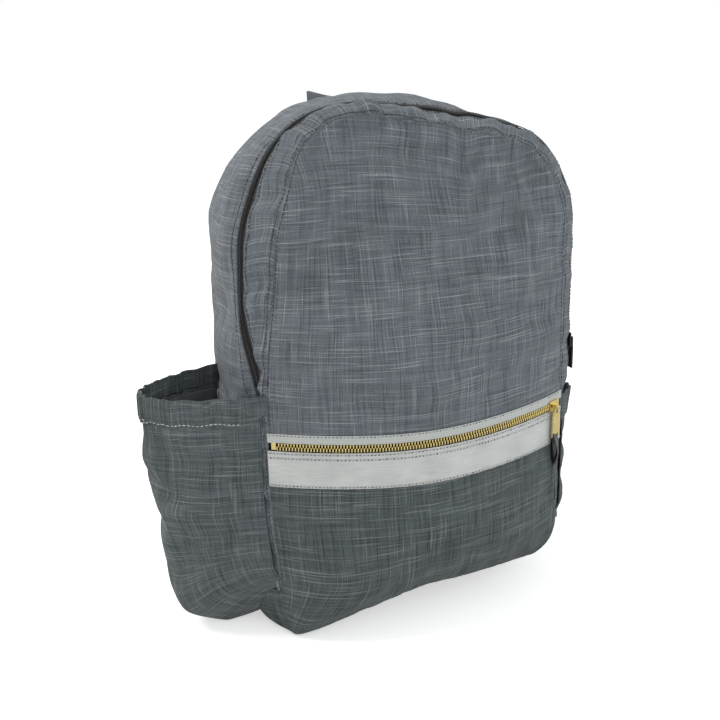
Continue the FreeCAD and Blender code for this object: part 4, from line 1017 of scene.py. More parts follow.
fleck.inputs["Scale"].default_value, fleck.inputs["Detail"].default_value = 350, 3
dull.inputs["To Min"].default_value, dull.inputs["To Max"].default_value = 0.16, 0.36
gold = put(tree, "ShaderNodeMix", data_type="RGBA")
gold.inputs[6].default_value, gold.inputs[7].default_value = (0.50, 0.40, 0.15, 1), (0.72, 0.60, 0.27, 1)
tree.links.new(place.outputs["Object"], fleck.inputs["Vector"])
tree.links.new(fleck.outputs[0], dull.inputs["Value"])
tree.links.new(fleck.outputs[0], gold.inputs[0])
tree.links.new(gold.outputs[2], shader.inputs["Base Color"])
tree.links.new(dull.outputs[0], shader.inputs["Roughness"])
shader.inputs["Metallic"].default_value = 1.0

RIBBON_LOW, RIBBON_HIGH = (corner.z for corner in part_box("ribbon_band"))
RIBBON_DROP = 0.004
RIBBON_LOW -= RIBBON_DROP
BAND_COLUMNS = 181
TAPE_LOW, TAPE_HIGH = (corner.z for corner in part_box("front_zip_upper_tape"))


def front_band(name, low, high, rows, lift, finish, thick, pucker=0.0, ends=0.0006):
    """A strip laid on the front, level by level, with the small puckers its stitching draws in."""
    share = np.linspace(-1, 1, BAND_COLUMNS)
    z = np.repeat(np.linspace(low, high, rows)[:, None], BAND_COLUMNS, 1)
    half = half_width(z, SEAM_HALF, SEAM_TOP, SEAM_SHOULDER) - ends
    x = half * share[None, :]
    middle = np.sin(np.linspace(0, np.pi, rows))[:, None]
    y = front_depth(x, z) - lift
    y -= pucker * (np.sin(x * 2 * np.pi / 0.0105 + 2.2 * np.sin(x * 90) + z * 60) * (1 - 0.7 * middle)
                   * 0.45 + 0.8 * middle)
    points = slump(np.stack([x, y, z], -1))
    piece = sheet_mesh(name, points, np.stack([x, z], -1))
    finish_cloth(piece, finish, thick=thick)
    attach(piece, "bag")
    return piece


ribbon = front_band("ribbon", RIBBON_LOW, RIBBON_HIGH, 13, 0.0010, SATIN, 0.0006, pucker=0.0004)
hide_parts("ribbon_band")
upper_tape = front_band("upper_tape", TAPE_LOW, TAPE_HIGH, 6, 0.0012, PALE_TAPE, 0.0006, pucker=0.0002)
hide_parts("front_zip_upper_tape")
lower_tape = front_band("lower_tape", RIBBON_HIGH - 0.006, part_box("front_zip_lower_teeth")[0].z + 0.0006, 6,
                        -0.0009,
                           BLACK_TAPE, 0.0005, ends=0.004)
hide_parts("front_zip_lower_tape")


def front_line(level, lift, shares):
    z = np.full(len(shares), level)
    x = half_width(z, SEAM_HALF, SEAM_TOP, SEAM_SHOULDER) * shares
    points = slump(np.stack([x, front_depth(x, z) - lift, z], 1))
    out = np.stack([x / BELLY_RADIUS, -np.sqrt(1 - (x / BELLY_RADIUS) ** 2), 0 * x], 1)
    return points, out


def one_tooth(shape):
    """A cast tooth: a block that narrows to its head, rounded at its edges."""
    bmesh.ops.create_cube(shape, size=1.0)
    for vert in shape.verts:
        vert.co = (vert.co.x * (1.35 if vert.co.y < 0 else 1.0), vert.co.y * 3.0 + 1.5,
                   vert.co.z * (2.2 if vert.co.y < 0 else 1.7))
    bmesh.ops.bevel(shape, geom=list(shape.edges), offset=0.28, segments=1, affect="EDGES", profile=0.6)


TOOTH = loose_piece("tooth_shape", one_tooth)
TOOTH_PITCH = 0.0023
LOWER_BASE, UPPER_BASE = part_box("front_zip_lower_teeth")[0].z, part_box("front_zip_upper_teeth")[1].z
stop_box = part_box("front_zip_stops")
chain_half = (stop_box[1].x - 0.004) / SEAM_HALF
for row, base, way in (("lower", LOWER_BASE, 1), ("upper", UPPER_BASE, -1)):
    shares = np.linspace(-chain_half, chain_half, 160) + (0.5 * TOOTH_PITCH / SEAM_HALF if way < 0 else 0)
    line, out = front_line(base, 0.0006, shares)
    teeth = along(f"teeth_{row}", [line[::way]], [out[::way]], TOOTH, TOOTH_PITCH, BRASS,
                  size=(0.001, 0.001, 0.001))
    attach(teeth, "bag")
    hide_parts(f"front_zip_{row}_teeth")

# ---- Stitching ----------------------------------------------------------------------
# Lockstitch rows: two beside the main zip on the front gusset and one on the rear, one on
# either side of the front seam, and three on the ribbon and one on the upper tape.
def trace(grid, rows, columns, lift):
    """Points on a laid cloth at fractional grid places, lifted off its outer face."""
    rows, columns = np.broadcast_arrays(np.asarray(rows, float), np.asarray(columns, float))
    r, c = np.clip(rows, 0, grid.shape[0] - 1.001), np.clip(columns, 0, grid.shape[1] - 1.001)
    a, b = r.astype(int), c.astype(int)
    fr, fc = (r - a)[:, None], (c - b)[:, None]
    p00, p01, p10, p11 = grid[a, b], grid[a, b + 1], grid[a + 1, b], grid[a + 1, b + 1]
    points = (p00 * (1 - fr) + p10 * fr) * (1 - fc) + (p01 * (1 - fr) + p11 * fr) * fc
    normal = np.cross(p01 - p00, p10 - p00)
    normal /= np.maximum(np.linalg.norm(normal, axis=1, keepdims=True), 1e-12)
    if (normal * (points - np.array([0, 0, 0.2]))).sum() < 0:
        normal = -normal
    return points + normal * lift, normal


STITCH_SIZE = (0.0029, 0.00085, 0.0006)
STITCH_PITCH = 0.0033
STITCH_LIFT = 0.0001
columns = np.arange(0, LAST - FIRST - 1, 0.5)
on_zip = columns[(LOOP_Z[FIRST:LAST][columns.astype(int)] > FOLD + 0.004)]
gusset_rows = [trace(FRONT_GUSSET, 8.1, on_zip, STITCH_LIFT), trace(FRONT_GUSSET, 6.9, on_zip, STITCH_LIFT),
               trace(FRONT_GUSSET, 1.6, columns, STITCH_LIFT)]
gusset_stitches = along("front_gusset_stitches", [r[0] for r in gusset_rows], [r[1] for r in gusset_rows],
                        STITCH,
                        STITCH_PITCH, THREAD, size=STITCH_SIZE, unevenness=0.12, seed=3)
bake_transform(gusset_stitches)
rear_rows = [trace(REAR_GUSSET, 2.4, on_zip, STITCH_LIFT)]
rear_stitches = along("rear_gusset_stitches", [r[0] for r in rear_rows], [r[1] for r in rear_rows], STITCH,
                      STITCH_PITCH, THREAD, size=STITCH_SIZE, unevenness=0.12, seed=4)
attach(rear_stitches, "bag")

rows_up = np.arange(4, FRONT.shape[0] - 2.6, 0.5)
last_row = FRONT.shape[0] - 1
side_line = [trace(FRONT, rows_up, 1.5, STITCH_LIFT), trace(FRONT, rows_up, ACROSS - 2.5, STITCH_LIFT),
             trace(FRONT, last_row - 2.6, np.arange(2, ACROSS - 2, 0.5), STITCH_LIFT)]
front_stitches = along("front_seam_stitches", [s[0] for s in side_line], [s[1] for s in side_line], STITCH,
                       STITCH_PITCH, THREAD, size=STITCH_SIZE, unevenness=0.12, seed=5)
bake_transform(front_stitches)

shares = np.linspace(-0.99, 0.99, 200)
ribbon_rows = [front_line(level, lift, shares) for level, lift in
               ((RIBBON_HIGH - 0.0018, 0.0016), (RIBBON_HIGH - 0.0055, 0.0018), (RIBBON_LOW + 0.0016, 0.0016),
                (TAPE_HIGH - 0.0012, 0.0014))]
ribbon_stitches = along("ribbon_stitches", [r[0] for r in ribbon_rows], [r[1] for r in ribbon_rows], STITCH,
                        0.0028, PALE_THREAD, size=(0.0021, 0.0008, 0.0005), unevenness=0.15, seed=6)
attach(ribbon_stitches, "bag")
hole_lines = [r[0][1:] for r in ribbon_rows]
needle_holes = along("ribbon_needle_holes", hole_lines, [r[1][1:] for r in ribbon_rows], STITCH, 0.0028,
                     THREAD,
                     size=(0.0011, 0.0009, 0.0005), unevenness=0.25, seed=7)
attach(needle_holes, "bag")

# ---- Side pockets -------------------------------------------------------------------
# A bellows of chambray on either side, gathered at its mouth by elastic in a folded hem.
# The left one keeps the round it takes from a bottle; the right one is empty, nearly flat.
POCKET_FRONT, POCKET_BACK = SEAM - 0.0004, 0.032
POCKET_LOW = 0.002
HEM = 0.022
POCKET_COLUMNS, HEM_COLUMNS = 85, 181


def pocket_point(side, across, level, top, bulge, out=0.0):
    """A point of a pocket: across runs from -1 at the front seam to 1 at the back one."""
    middle, spread = (POCKET_FRONT + POCKET_BACK) / 2, (POCKET_BACK - POCKET_FRONT) / 2
    y = middle + spread * across
    sink = np.clip((top - level) / (top - POCKET_LOW), 0, 1)
    reach = bulge * (1 - 0.29 * sink ** 2.2) * (1 - 0.30 * ease(sink, 0.92, 1.0))
    reach = reach * np.cos(np.pi / 2
                           * np.clip(across, -0.9999, 0.9999)) ** 0.7 + (0.0028 if side < 0 else 0.0024)
    toward = ease(y, SEAM, ZIP)
    wall = half_width(level, SEAM_HALF, SEAM_TOP, SEAM_SHOULDER) * (1 - toward)
    wall = wall + half_width(level, HALF, TOP, SHOULDER) * toward
    return np.stack([side * (wall + reach + out), y, level], -1)


def gathers(across):
    """The pleats that the elastic draws into a pocket's mouth."""
    return np.sin(across * 38 + 2.4 * np.sin(across * 9) + 0.6)


def pocket(name, side, node, bulge):
    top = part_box(f"{node}_hem")[1].z - 0.0006
    turn_share = np.linspace(-1, 1, POCKET_COLUMNS)
    across = np.sin(turn_share * math.pi / 2) * 0.35 + turn_share * 0.65
    levels = np.concatenate([np.linspace(POCKET_LOW, 0.012, 5)[:-1],
                             np.arange(0.012, top - HEM + 0.004, 0.0028)])
    floor_rows = 7
    a, z = np.meshgrid(across, levels)
    points = pocket_point(side, a, z, top, bulge)
    inner = pocket_point(side, across, np.full(POCKET_COLUMNS, POCKET_LOW), top, 0.0)
    fold_in = np.linspace(0, 1, floor_rows + 1)[:-1]
    under = np.array([inner * (1 - f) + points[0] * f for f in fold_in])
    points = np.concatenate([under, points])
    points[: floor_rows + 3, :, 2] += 0.004 * (np.linspace(1, 0, floor_rows + 3)[:, None]) ** 2
    full_z = np.concatenate([np.full(floor_rows, 0.0), levels])
    gather = ease(full_z, top - 0.075, top - HEM)[:, None] * (1 - np.abs(across[None, :]) ** 4)
    share = min(1.0, bulge / 0.05)
    wrinkle = gather * 0.0013 * gathers(across)
    body = np.sin(np.pi * np.clip(full_z / top, 0, 1))[:, None] * (1 - across[None, :] ** 6)
    depth = (across * 0.05)[None, :] + 0 * full_z[:, None]
    wrinkle = wrinkle + body * waves(depth, full_z[:, None] + 0 * depth, [
        (0.0016 * (0.5 + share / 2), 0.075, 0.7, 1.1), (0.0012, 0.048, -0.9, 2.9), (0.0008, 0.030, 0.3, 0.3)])
    points[..., 0] += side * wrinkle * ease(full_z, 0.0, 0.03)[:, None]
    girth = run_along(points[len(points) // 2])
    height = run_along(points[:, POCKET_COLUMNS // 2])
    uv = np.stack(np.meshgrid(girth + (1.1 if side < 0 else 1.6), height), -1)
    points[..., 2] += 0.030 * (1 - ease(across, -1.0, -0.2))[None, :] * (1 - ease(points[..., 2], 0.0, 0.08))
    points = slump(points)
    order = slice(None) if side < 0 else slice(None, None, -1)
    cloth = sheet_mesh(f"{name}_cloth", points[:, ::-1][:, order], uv[:, ::-1][:, order])
    held = edge_hold(*points.shape[:2])
    settle(cloth, held.ravel(), slack=0.022, push=0.5 if side < 0 else 0.15,
           furthest=0.0045 if side < 0 else 0.002)
    # The pocket cloth takes the darker chambray copy: painted shade.
    finish_cloth(cloth, SHADED_POCKET_CHAMBRAY, LINING, thick=0.0012, held="gathered")
    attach(cloth, "bag")
    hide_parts(node)

    path = ((-0.0222, 0.0002), (-0.0220, 0.0008), (-0.0198, 0.0011), (-0.0120, 0.0013), (-0.0050, 0.0012),
            (-0.0016, 0.0010), (-0.0002, 0.0003), (-0.0002, -0.0007), (-0.0016, -0.0016), (-0.0060, -0.0017),
            (-0.0170, -0.0017))
    fine = np.linspace(-1, 1, HEM_COLUMNS)
    crimp = (1 - np.abs(fine) ** 4) * 0.0013 * gathers(fine)
    crimp += (1 - np.abs(fine) ** 4) * 0.0005 * np.sin(fine * 97 + 1.3 * np.sin(fine * 23))
    rows = []
    for dz, out in path:
        row = pocket_point(side, fine, np.full(HEM_COLUMNS, top + dz), top, bulge, out)
        row[:, 0] += side * (crimp - 0.0024 * np.abs(fine) ** 60)
        row[:, 2] += 0.0006 * np.sin(fine * 38 + 2.0)
        rows.append(row)
    hem_points = slump(np.array(rows))
    run = run_along(hem_points[4])
    rise = run_along(hem_points[:, HEM_COLUMNS // 2])
    hem_uv = np.stack(np.meshgrid(run + (1.1 if side < 0 else 1.6), rise + top), -1)
    hem = sheet_mesh(f"{name}_hem", hem_points[:, ::-1][:, order], hem_uv[:, ::-1][:, order])
    # The hem takes the darker chambray copy too: painted shade.
    finish_cloth(hem, SHADED_POCKET_CHAMBRAY, thick=0.0007)
    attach(hem, "bag")
    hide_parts(f"{node}_hem", f"{node}_elastic")

    line = hem_points[2][6:-6].copy()
    line[:, 0] += side * 0.0006
    stitches = along(f"{name}_stitches", [line], [np.tile([side, 0, 0], (len(line), 1))], STITCH,
                     STITCH_PITCH,
                     PALE_THREAD, size=(0.0024, 0.0009, 0.0006), unevenness=0.2, seed=8)
    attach(stitches, "bag")


pocket("left_side_pocket", -1, "left_pocket", 0.067)
pocket("right_side_pocket", 1, "right_pocket", 0.0060)

# ---- Grab handle --------------------------------------------------------------------
# A slack loop of grey webbing, both ends sewn in at the top of the back. Its right half
# hangs lower than its left, whose upper corner stands over the crown.
WEB_STEP = 0.0025
WEBBING = plain_weave_material("grey_webbing", (0.085, 0.095, 0.105), (0.17, 0.185, 0.20), 520, 0.75,
                               ribbed=True,
                               strength=0.6)
BLACK_WEBBING = plain_weave_material("black_webbing", (0.012, 0.013, 0.014), (0.035, 0.037, 0.04), 520, 0.7,
                                     ribbed=True, strength=0.6)


def smooth_path(corners, rounds=3):
    """Rounds a path's corners off, as webbing rounds a bar."""
    path = np.array(corners, float)
    for _ in range(rounds):
        first, last = path[:-1], path[1:]
        cut = np.stack([first * 0.75 + last * 0.25, first * 0.25 + last * 0.75], 1).reshape(-1, path.shape[1])
        path = np.concatenate([path[:1], cut, path[-1:]])
    return path


def respread(values, path):
    """Directions given at even shares of a path, as many as webbing() lays points on it."""
    length = np.linalg.norm(np.diff(path, axis=0), axis=1).sum()
    even = np.linspace(0, 1, max(8, int(length / WEB_STEP)))
    given = np.linspace(0, 1, len(values))
    return np.stack([np.interp(even, given, values[:, k]) for k in range(3)], 1)


def webbing(name, path, widths, across, thick, finish, columns=9, crown=0.0):
    """Flat webbing along a path in space, as wide as given, with rounded selvedges."""
    path = np.array(path, float)
    steps = run_along(path)
    count = max(8, int(steps[-1] / WEB_STEP))
    even = np.linspace(0, steps[-1], count)
    line = np.stack([np.interp(even, steps, path[:, k]) for k in range(3)], 1)
    wide = np.interp(even / steps[-1], np.linspace(0, 1, len(widths)), widths)
    share = np.linspace(-1, 1, columns)
    across = np.broadcast_to(np.array(across, float), line.shape)
    tangent = np.gradient(line, axis=0)
    normal = np.cross(tangent, across)
    normal /= np.maximum(np.linalg.norm(normal, axis=1, keepdims=True), 1e-12)
    points = line[:, None, :] + across[:, None, :] * (wide[:, None, None] / 2 * share[None, :, None])
    points = points + normal[:, None, :] * (crown * (1 - share ** 2))[None, :, None]
    uv = np.stack(np.meshgrid(share * np.mean(widths) / 2, even), -1)
    piece = sheet_mesh(name, points, uv)
    return finish_cloth(piece, finish, thick=thick, out=0.5)


handle_low, handle_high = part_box("grab_handle")
HANDLE_HALF, HANDLE_WIDTH = handle_high.x, handle_high.z - handle_low.z
HANDLE_REACH = handle_high.y - 0.0013 - handle_low.y
handle_radius = (HANDLE_HALF ** 2 + HANDLE_REACH ** 2) / (2 * HANDLE_REACH)
swing = math.asin(HANDLE_HALF / handle_radius)
angles = np.linspace(-swing, swing, 41)
droop = 0.0075 * (np.cos(angles / swing * math.pi / 2)) ** 1.5
handle_path = np.stack([handle_radius * np.sin(angles),
                        handle_high.y - 0.0013 - handle_radius * (1 - np.cos(angles)),
                        (handle_low.z + handle_high.z) / 2 + 0.0010 - droop
                        - 0.0085 * ease(angles, -swing * 0.4, swing)], 1)
lean = np.stack([0 * angles, 0.10 * np.cos(angles / swing * math.pi / 2), np.ones(len(angles))], 1)
lean /= np.linalg.norm(lean, axis=1, keepdims=True)
handle = webbing("handle_webbing", handle_path, [HANDLE_WIDTH], respread(lean, handle_path), 0.0022,
                 WEBBING, columns=11, crown=0.0004)
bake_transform(handle)
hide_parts("grab_handle")

# ---- Shoulder straps ----------------------------------------------------------------
# Two padded straps of foam in chambray, sewn in at a yoke across the back. Webbing from
# the bag's lower corners runs up through a ladder lock at each pad's end.
yoke_low, yoke_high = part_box("strap_yoke")
share = np.linspace(-1, 1, 61)
rows = np.linspace(0, 1, 15)
x = np.repeat((yoke_high.x * share)[None, :], 15, 0)
z = np.repeat((yoke_low.z + (yoke_high.z - yoke_low.z) * rows)[:, None], 61, 1)
rim = np.minimum((1 - np.abs(share))[None, :] * yoke_high.x,
                 np.minimum(rows, 1 - rows)[:, None] * (yoke_high.z - yoke_low.z))
y = BACK + 0.0044 + 0.0008 * ease(rim, 0, 0.004) - 0.0010 * (1 - ease(rim, 0, 0.0012))
yoke = sheet_mesh("strap_yoke_cloth", np.stack([x, y, z], -1)[:, ::-1], np.stack([x + 2.1, z], -1)[:, ::-1])
finish_cloth(yoke, CHAMBRAY, thick=0.0012, held="stretched")
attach(yoke, "bag")
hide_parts("strap_yoke")
inset = 0.003
frame_x, frame_low, frame_high = yoke_high.x - inset, yoke_low.z + inset, yoke_high.z - inset
border = np.array([(-frame_x, frame_low), (frame_x, frame_low), (frame_x, frame_high),
                   (-frame_x, frame_high), (-frame_x, frame_low)])
yoke_line = np.concatenate([np.linspace(border[k], border[k + 1], 60)[:-1] for k in range(4)] + [border[:1]])
yoke_line = np.stack([yoke_line[:, 0], np.full(len(yoke_line), BACK + 0.0054), yoke_line[:, 1]], 1)
yoke_stitches = along("yoke_stitches", [yoke_line], [np.tile([0, 1, 0], (len(yoke_line), 1))], STITCH,
                      STITCH_PITCH, THREAD,
                      size=STITCH_SIZE, unevenness=0.12, seed=9)
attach(yoke_stitches, "bag")

PAD_FOOT, PAD_OUT, PAD_BOW = 0.100, 0.020, 0.036
PAD_WIDTH, PAD_THICK = 0.058, 0.009
ROOT_LEVEL, ROOT_PLACE = 0.350, 0.048
FOOT_LEVEL, FOOT_PLACE = 0.030, 0.112
STRAP_FACE = BACK + 0.0012
LOCK_NEAR, LOCK_FAR, LOCK_END = 0.0225, 0.0265, 0.0661
WEB_WIDTH, WEB_THICK = 0.025, 0.0016
LOOP_LOW, SLOT_BAR = 0.0860, 0.0755
BINDING = plain_weave_material("black_binding", (0.012, 0.013, 0.014), (0.034, 0.036, 0.039), 800, 0.65,
                               ribbed=True)
BLACK_PLASTIC, tree, shader = node_material("black_plastic")
place, grain, lift = put(tree, "ShaderNodeTexCoord"), put(tree,
                                                          "ShaderNodeTexNoise"), put(tree, "ShaderNodeBump")
grain.inputs["Scale"].default_value, grain.inputs["Detail"].default_value = 1400, 2
lift.inputs["Strength"].default_value, lift.inputs["Distance"].default_value = 0.35, 0.0002
rough = put(tree, "ShaderNodeMapRange", To_Min=0.38, To_Max=0.58)
tree.links.new(place.outputs["Object"], grain.inputs["Vector"])
tree.links.new(grain.outputs[0], lift.inputs["Height"])
tree.links.new(lift.outputs[0], shader.inputs["Normal"])
tree.links.new(grain.outputs[0], rough.inputs["Value"])
tree.links.new(rough.outputs[0], shader.inputs["Roughness"])
shader.inputs["Base Color"].default_value = (0.018, 0.018, 0.019, 1)


def shoulder_strap(name, side):
    foot = np.array([side * FOOT_PLACE, STRAP_FACE, FOOT_LEVEL])
    root = np.array([side * ROOT_PLACE, STRAP_FACE, ROOT_LEVEL])
    run = np.linalg.norm(root - foot)
    up = (root - foot) / run
    back = np.array([0, 1.0, 0])
    wide = np.cross(back, up)
    body = f"{name}_strap"

    def place(y, z, x=0.0):
        y, z, x = np.broadcast_arrays(np.asarray(y, float), z, x)
        return foot + y[..., None] * back + z[..., None] * up + x[..., None] * wide

    pad_run = run - PAD_FOOT
    chord = math.hypot(pad_run, PAD_OUT)
    radius = (chord ** 2 / 4 + PAD_BOW ** 2) / (2 * PAD_BOW)
    half_angle = math.asin(chord / 2 / radius)
    tilt = math.atan2(PAD_OUT, pad_run)
    centre = np.array([PAD_OUT / 2, PAD_FOOT + pad_run / 2]) - np.array([math.cos(tilt),
                                                                         math.sin(tilt)]) * (radius - PAD_BOW)
    steps = 84
    angle = np.linspace(-half_angle, half_angle + 0.012, steps)
    middle = radius + PAD_THICK / 2
    line = centre + middle * np.stack([np.cos(angle + tilt), np.sin(angle + tilt)], 1)
    out_of = np.stack([np.cos(angle + tilt), np.sin(angle + tilt)], 1)
    length = middle * (angle[-1] - angle[0])
    far = middle * (angle - angle[0])
    wide_here = PAD_WIDTH / 2 - 0.0022 - 0.010 * (1 - ease(far, 0, 0.026)) ** 2
    thick_here = (PAD_THICK / 2 - 0.0006) * (0.55 + 0.45 * ease(far, 0, 0.014)) * (0.75 + 0.25
                                                                                   * ease(length - far, 0, 0.02))
    around = np.linspace(0, 2 * math.pi, 33)[:-1]
    shape_x = np.sign(np.cos(around)) * np.abs(np.cos(around)) ** 0.55
    shape_y = np.sign(np.sin(around)) * np.abs(np.sin(around)) ** 0.75
    section_x = wide_here[:, None] * shape_x[None, :]
    section_y = thick_here[:, None] * shape_y[None, :]
    ripple = waves(section_x, far[:, None] + 0 * section_x,
                   [(0.0005, 0.028, 0.1, 1.0), (0.0004, 0.017, -0.2, 0.3)])
    section_y = section_y + ripple * np.sign(section_y) * (1 - np.abs(shape_x[None, :]) ** 3)
    local_y = line[:, None, 0] + out_of[:, None, 0] * section_y
    local_z = line[:, None, 1] + out_of[:, None, 1] * section_y
    tube = place(local_y, local_z, section_x)
    count = len(around)
    verts = tube.reshape(-1, 3).tolist()
    faces = [(r * count + c, (r + 1) * count + c, (r + 1) * count + (c + 1) % count,
              r * count + (c + 1) % count)
             for r in range(steps - 1) for c in range(count)]
    ends = []
    for r in (0, steps - 1):
        verts.append(tube[r].mean(0).tolist())
        centre_index = len(verts) - 1
        for c in range(count):
            pair = (r * count + c, r * count + (c + 1) % count)
            ends.append((*(pair if r == 0 else pair[::-1]), centre_index))
    mesh = bpy.data.meshes.new(f"{name}_strap_pad")
    mesh.from_pydata(verts, [], faces + ends)
    layer = mesh.uv_layers.new(name="pattern")
    girth = run_along(tube[40])
    flat = []
    for polygon in mesh.polygons:
        for vertex in polygon.vertices:
            if vertex >= steps * count:
                flat += [2.5, 0.0]
                continue
            column, row = vertex % count, vertex // count
            at = girth[column] if not (column == 0 and polygon.index % count == count
                                       - 1) else girth[-1] + 0.003
            flat += [at + 2.5 + 0.2 * side, far[row]]
    layer.data.foreach_set("uv", flat)
    shape = bmesh.new()
    shape.from_mesh(mesh)
    bmesh.ops.recalc_face_normals(shape, faces=shape.faces)
    shape.to_mesh(mesh)
    shape.free()
    mesh.polygons.foreach_set("use_smooth", [True] * len(mesh.polygons))
    pad_piece = bpy.data.objects.new(f"{name}_strap_pad", mesh)
    scene.collection.objects.link(pad_piece)
    rim_hold = np.repeat((np.abs(shape_x) > 0.97)[None, :] * 1.0, steps, 0)
    rim_hold[:3] = rim_hold[-3:] = 1.0
    settle(pad_piece, np.concatenate([rim_hold.ravel(), [1, 1]]), slack=0.012, push=2.5, furthest=0.0016,
           frames=16)
    mesh.materials.append(CHAMBRAY)
    fine = pad_piece.modifiers.new("fine", "SUBSURF")
    fine.levels = fine.render_levels = 1
    apply_modifiers(pad_piece)

    edges, stitch_lines, stitch_outs = [], [], []
    for edge in (-1, 1):
        edge_x = edge * (wide_here + 0.0006)
        edge_line = place(line[:, 0], line[:, 1], edge_x)
        across_edge = out_of[:, :1] * back + out_of[:, 1:] * up
        edges.append((edge_line, across_edge, edge))
        for face in (-1, 1):
            inner_x = edge * (wide_here - 0.0042)
            lift = face * (thick_here * 0.86 + 0.0009)
            stitch_lines.append(place(line[:, 0] + out_of[:, 0] * lift, line[:, 1] + out_of[:, 1] * lift,
                                      inner_x))
            stitch_outs.append(across_edge * face)
    wrap = np.linspace(-1.15 * math.pi / 2, 1.15 * math.pi / 2, 11)
    binding_verts, binding_faces, binding_uv = [], [], []
    for edge_line, across_edge, edge in edges:
        start = len(binding_verts)
        for r in range(steps):
            for c, turn_at in enumerate(wrap):
                reach_x = edge * (0.0030 * math.cos(turn_at) - 0.0022)
                reach_y = (thick_here[r] * 0.62 + 0.0008) * math.sin(turn_at)
                binding_verts.append(edge_line[r] + wide * reach_x + across_edge[r] * reach_y)
        for r in range(steps - 1):
            for c in range(len(wrap) - 1):
                a = start + r * len(wrap) + c
                quad = (a, a + 1, a + len(wrap) + 1, a + len(wrap))
                binding_faces.append(quad if edge > 0 else quad[::-1])
                corners = ((c, r), (c + 1, r), (c + 1, r + 1), (c, r + 1))
                binding_uv += [(k * 0.0011, far[m]) for k, m in (corners if edge > 0 else corners[::-1])]
    mesh = bpy.data.meshes.new(f"{name}_strap_binding")
    mesh.from_pydata([tuple(v) for v in binding_verts], [], binding_faces)
    layer = mesh.uv_layers.new(name="pattern")
    layer.data.foreach_set("uv", np.array(binding_uv, np.float32).ravel())
    mesh.polygons.foreach_set("use_smooth", [True] * len(mesh.polygons))
    binding = bpy.data.objects.new(f"{name}_strap_binding", mesh)
    scene.collection.objects.link(binding)
    finish_cloth(binding, BINDING, thick=0.0006, smooth=1)
    stitches = along(f"{name}_strap_stitches", stitch_lines, stitch_outs, STITCH, STITCH_PITCH, THREAD,
                     size=STITCH_SIZE,
                     unevenness=0.12, seed=10)
    near_root, past_root = place(0.0, run), place(0.0, run - 0.075)
    for piece, slot in ((pad_piece, "chambray"), (binding, "black_tape"), (stitches, "chambray")):
        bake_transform(piece)
    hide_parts(f"{name}_strap_root", f"{name}_strap_cover", f"{name}_strap_foam")

    web_near, web_far = LOCK_NEAR - 0.0005 - WEB_THICK / 2, LOCK_FAR + 0.0005 + WEB_THICK / 2
    loop_path = smooth_path([(web_near, PAD_FOOT + 0.012), (web_near, LOOP_LOW + WEB_THICK),
                             (web_near, LOOP_LOW + WEB_THICK / 2),
                             (web_far, LOOP_LOW + WEB_THICK / 2), (web_far, LOOP_LOW + WEB_THICK),
                             (web_far, PAD_FOOT + 0.012)])
    loop = webbing(f"{name}_web_loop_strip", place(loop_path[:, 0], loop_path[:, 1]), [WEB_WIDTH], wide,
                   WEB_THICK, BLACK_WEBBING)
    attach(loop, body)
    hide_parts(f"{name}_web_loop")
    tail_end = LOCK_END - 0.070
    tail_path = smooth_path([(web_near, LOCK_END), (web_near, SLOT_BAR + WEB_THICK),
                             (web_near, SLOT_BAR + WEB_THICK / 2),
                             (web_far, SLOT_BAR + WEB_THICK / 2), (web_far, SLOT_BAR + WEB_THICK),
                             (web_far, LOCK_END + 0.002),
                             (web_far + 0.0006, LOCK_END - 0.02), (web_far - 0.0012, tail_end + 0.02),
                             (web_far + 0.0008, tail_end)])
    tail = webbing(f"{name}_strap_tail", place(tail_path[:, 0], tail_path[:, 1]), [WEB_WIDTH], wide,
                   WEB_THICK, BLACK_WEBBING)
    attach(tail, body)
    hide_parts(f"{name}_strap_webbing")
    lower_path = smooth_path([(0.0012, -0.015), (0.0014, -0.004), (0.0034, 0.004),
                              (web_near * 0.45, LOCK_END * 0.42),
                              (web_near * 0.92, LOCK_END * 0.86), (web_near, LOCK_END)])
    lower = webbing(f"{name}_strap_lower", place(lower_path[:, 0], lower_path[:, 1]), [WEB_WIDTH], wide,
                    WEB_THICK, BLACK_WEBBING)
    place(0.0, 0.0)
    place(0.0, LOCK_END - 0.012)
    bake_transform(lower)
    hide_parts(f"{name}_strap_anchor")
    lock = frame["nodes"][f"{name}_ladder_lock"]
    lock.data.materials.clear()
    lock.data.materials.append(BLACK_PLASTIC)


shoulder_strap("left", -1)
shoulder_strap("right", 1)

# ---- Sliders, pulls and stops -------------------------------------------------------
# Die-cast brass on the front zip, with a flat clasp that grips strands of black ribbon;
# black-coated metal on the main zip. Both pulls swing on a pin through the slider's lug.
BLACK_METAL, tree, shader = node_material("black_metal")
place, fleck, dull = put(tree, "ShaderNodeTexCoord"), put(tree,
                                                          "ShaderNodeTexNoise"), put(tree, "ShaderNodeMapRange")
fleck.inputs["Scale"].default_value, fleck.inputs["Detail"].default_value = 500, 3
dull.inputs["To Min"].default_value, dull.inputs["To Max"].default_value = 0.22, 0.42
tree.links.new(place.outputs["Object"], fleck.inputs["Vector"])
tree.links.new(fleck.outputs[0], dull.inputs["Value"])
tree.links.new(dull.outputs[0], shader.inputs["Roughness"])
shader.inputs["Base Color"].default_value = (0.022, 0.022, 0.023, 1)
shader.inputs["Metallic"].default_value = 0.6
for node, finish in (("front_slider", BRASS), ("front_pull", BRASS), ("front_zip_stops", BRASS),
                     ("main_slider", BLACK_METAL), ("main_pull", BLACK_METAL)):
    part = frame["nodes"][node]
    part.data.materials.clear()
    part.data.materials.append(finish)

stop_line, stop_out = loop_line(zip_line(), 0.0004)
stop_rows = [ZIP_RUN[0] - 1, ZIP_RUN[-1] + 1]


def one_stop(shape):
    bmesh.ops.create_cube(shape, size=1.0)
    bmesh.ops.bevel(shape, geom=list(shape.edges), offset=0.16, segments=2, affect="EDGES", profile=0.7)


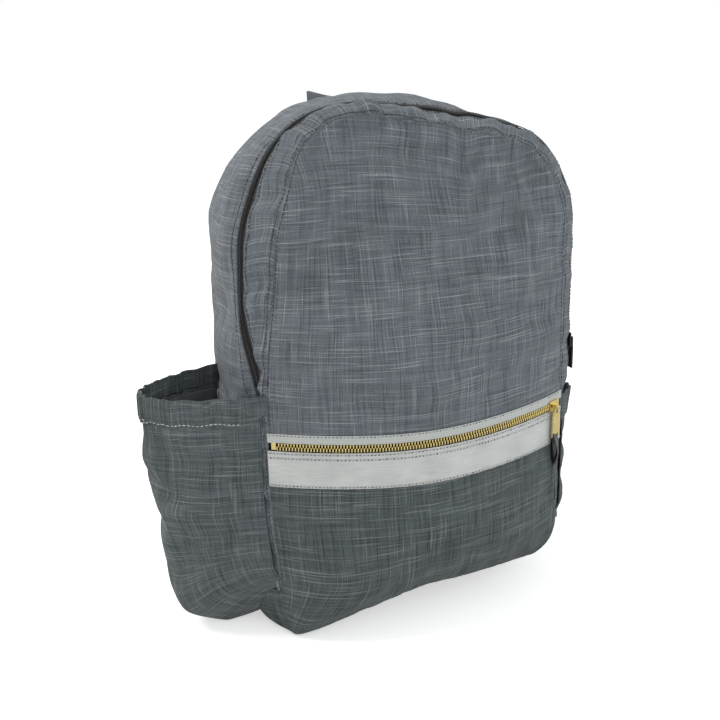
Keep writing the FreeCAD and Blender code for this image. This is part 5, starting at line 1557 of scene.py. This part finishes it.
STOP = loose_piece("stop_shape", one_stop)
stop_lines = [stop_line[[row - 1, row + 1]] for row in stop_rows]
for line in stop_lines:
    middle = line.mean(0)
    line[:] = middle + (line - middle) / np.linalg.norm(line[1] - line[0]) * 0.0012
zip_stops = along("main_zip_stops", stop_lines, [stop_out[[row - 1, row + 1]] for row in stop_rows], STOP,
                  0.006, BLACK_METAL,
                  size=(0.0030, 0.0058, 0.0026))
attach(zip_stops, "bag")
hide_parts("main_zip_stop_left", "main_zip_stop_right")

BLACK_RIBBON = satin("black_ribbon", (0.008, 0.008, 0.009), (0.022, 0.022, 0.024), 0.38)
tail_low, tail_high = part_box("front_pull_tail")
hang = Vector(((tail_low.x + tail_high.x) / 2, (tail_low.y + tail_high.y) / 2, tail_high.z))
pull_joint = [j for j in frame["joints"] if j["name"] == "front_pull_swing"][0]
pin_way = np.array(pull_joint["axis"], float)
pin_way /= np.linalg.norm(pin_way)
front_way = np.cross(pin_way, [0, 0, 1.0])
front_way *= -1 if front_way[1] > 0 else 1
drop = hang.z - tail_low.z
for number, (long, wide_at, lean_out,
             twist) in enumerate(((drop, 0.0042, 0.0010, 0.5), (drop * 0.46, 0.0070, -0.0012, -0.7),
                                                           (drop * 0.40, 0.0055, 0.0018, 1.1))):
    t = np.linspace(0, 1, 24)
    line = np.array(hang)[None, :] + front_way * (lean_out * np.sin(t * math.pi * 0.9) + 0.0006
                                                  * (number - 1))[:, None]
    line = line + pin_way * (0.0022 * (number - 1) * t + 0.0012 * np.sin(t * 5 + number))[:, None]
    line[:, 2] = hang.z + 0.0045 - (long + 0.0045) * t
    facing_turn = twist * t
    across = pin_way * np.cos(facing_turn)[:, None] + front_way * np.sin(facing_turn)[:, None]
    strand = webbing(f"pull_ribbon_{number}", line, [0.0080, 0.0075, wide_at, wide_at, 0.0016],
                     respread(across, line), 0.0004, BLACK_RIBBON,
                     columns=5, crown=0.0005)
    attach(strand, "front_pull")
    if number == 0:
        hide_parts("front_pull_tail")
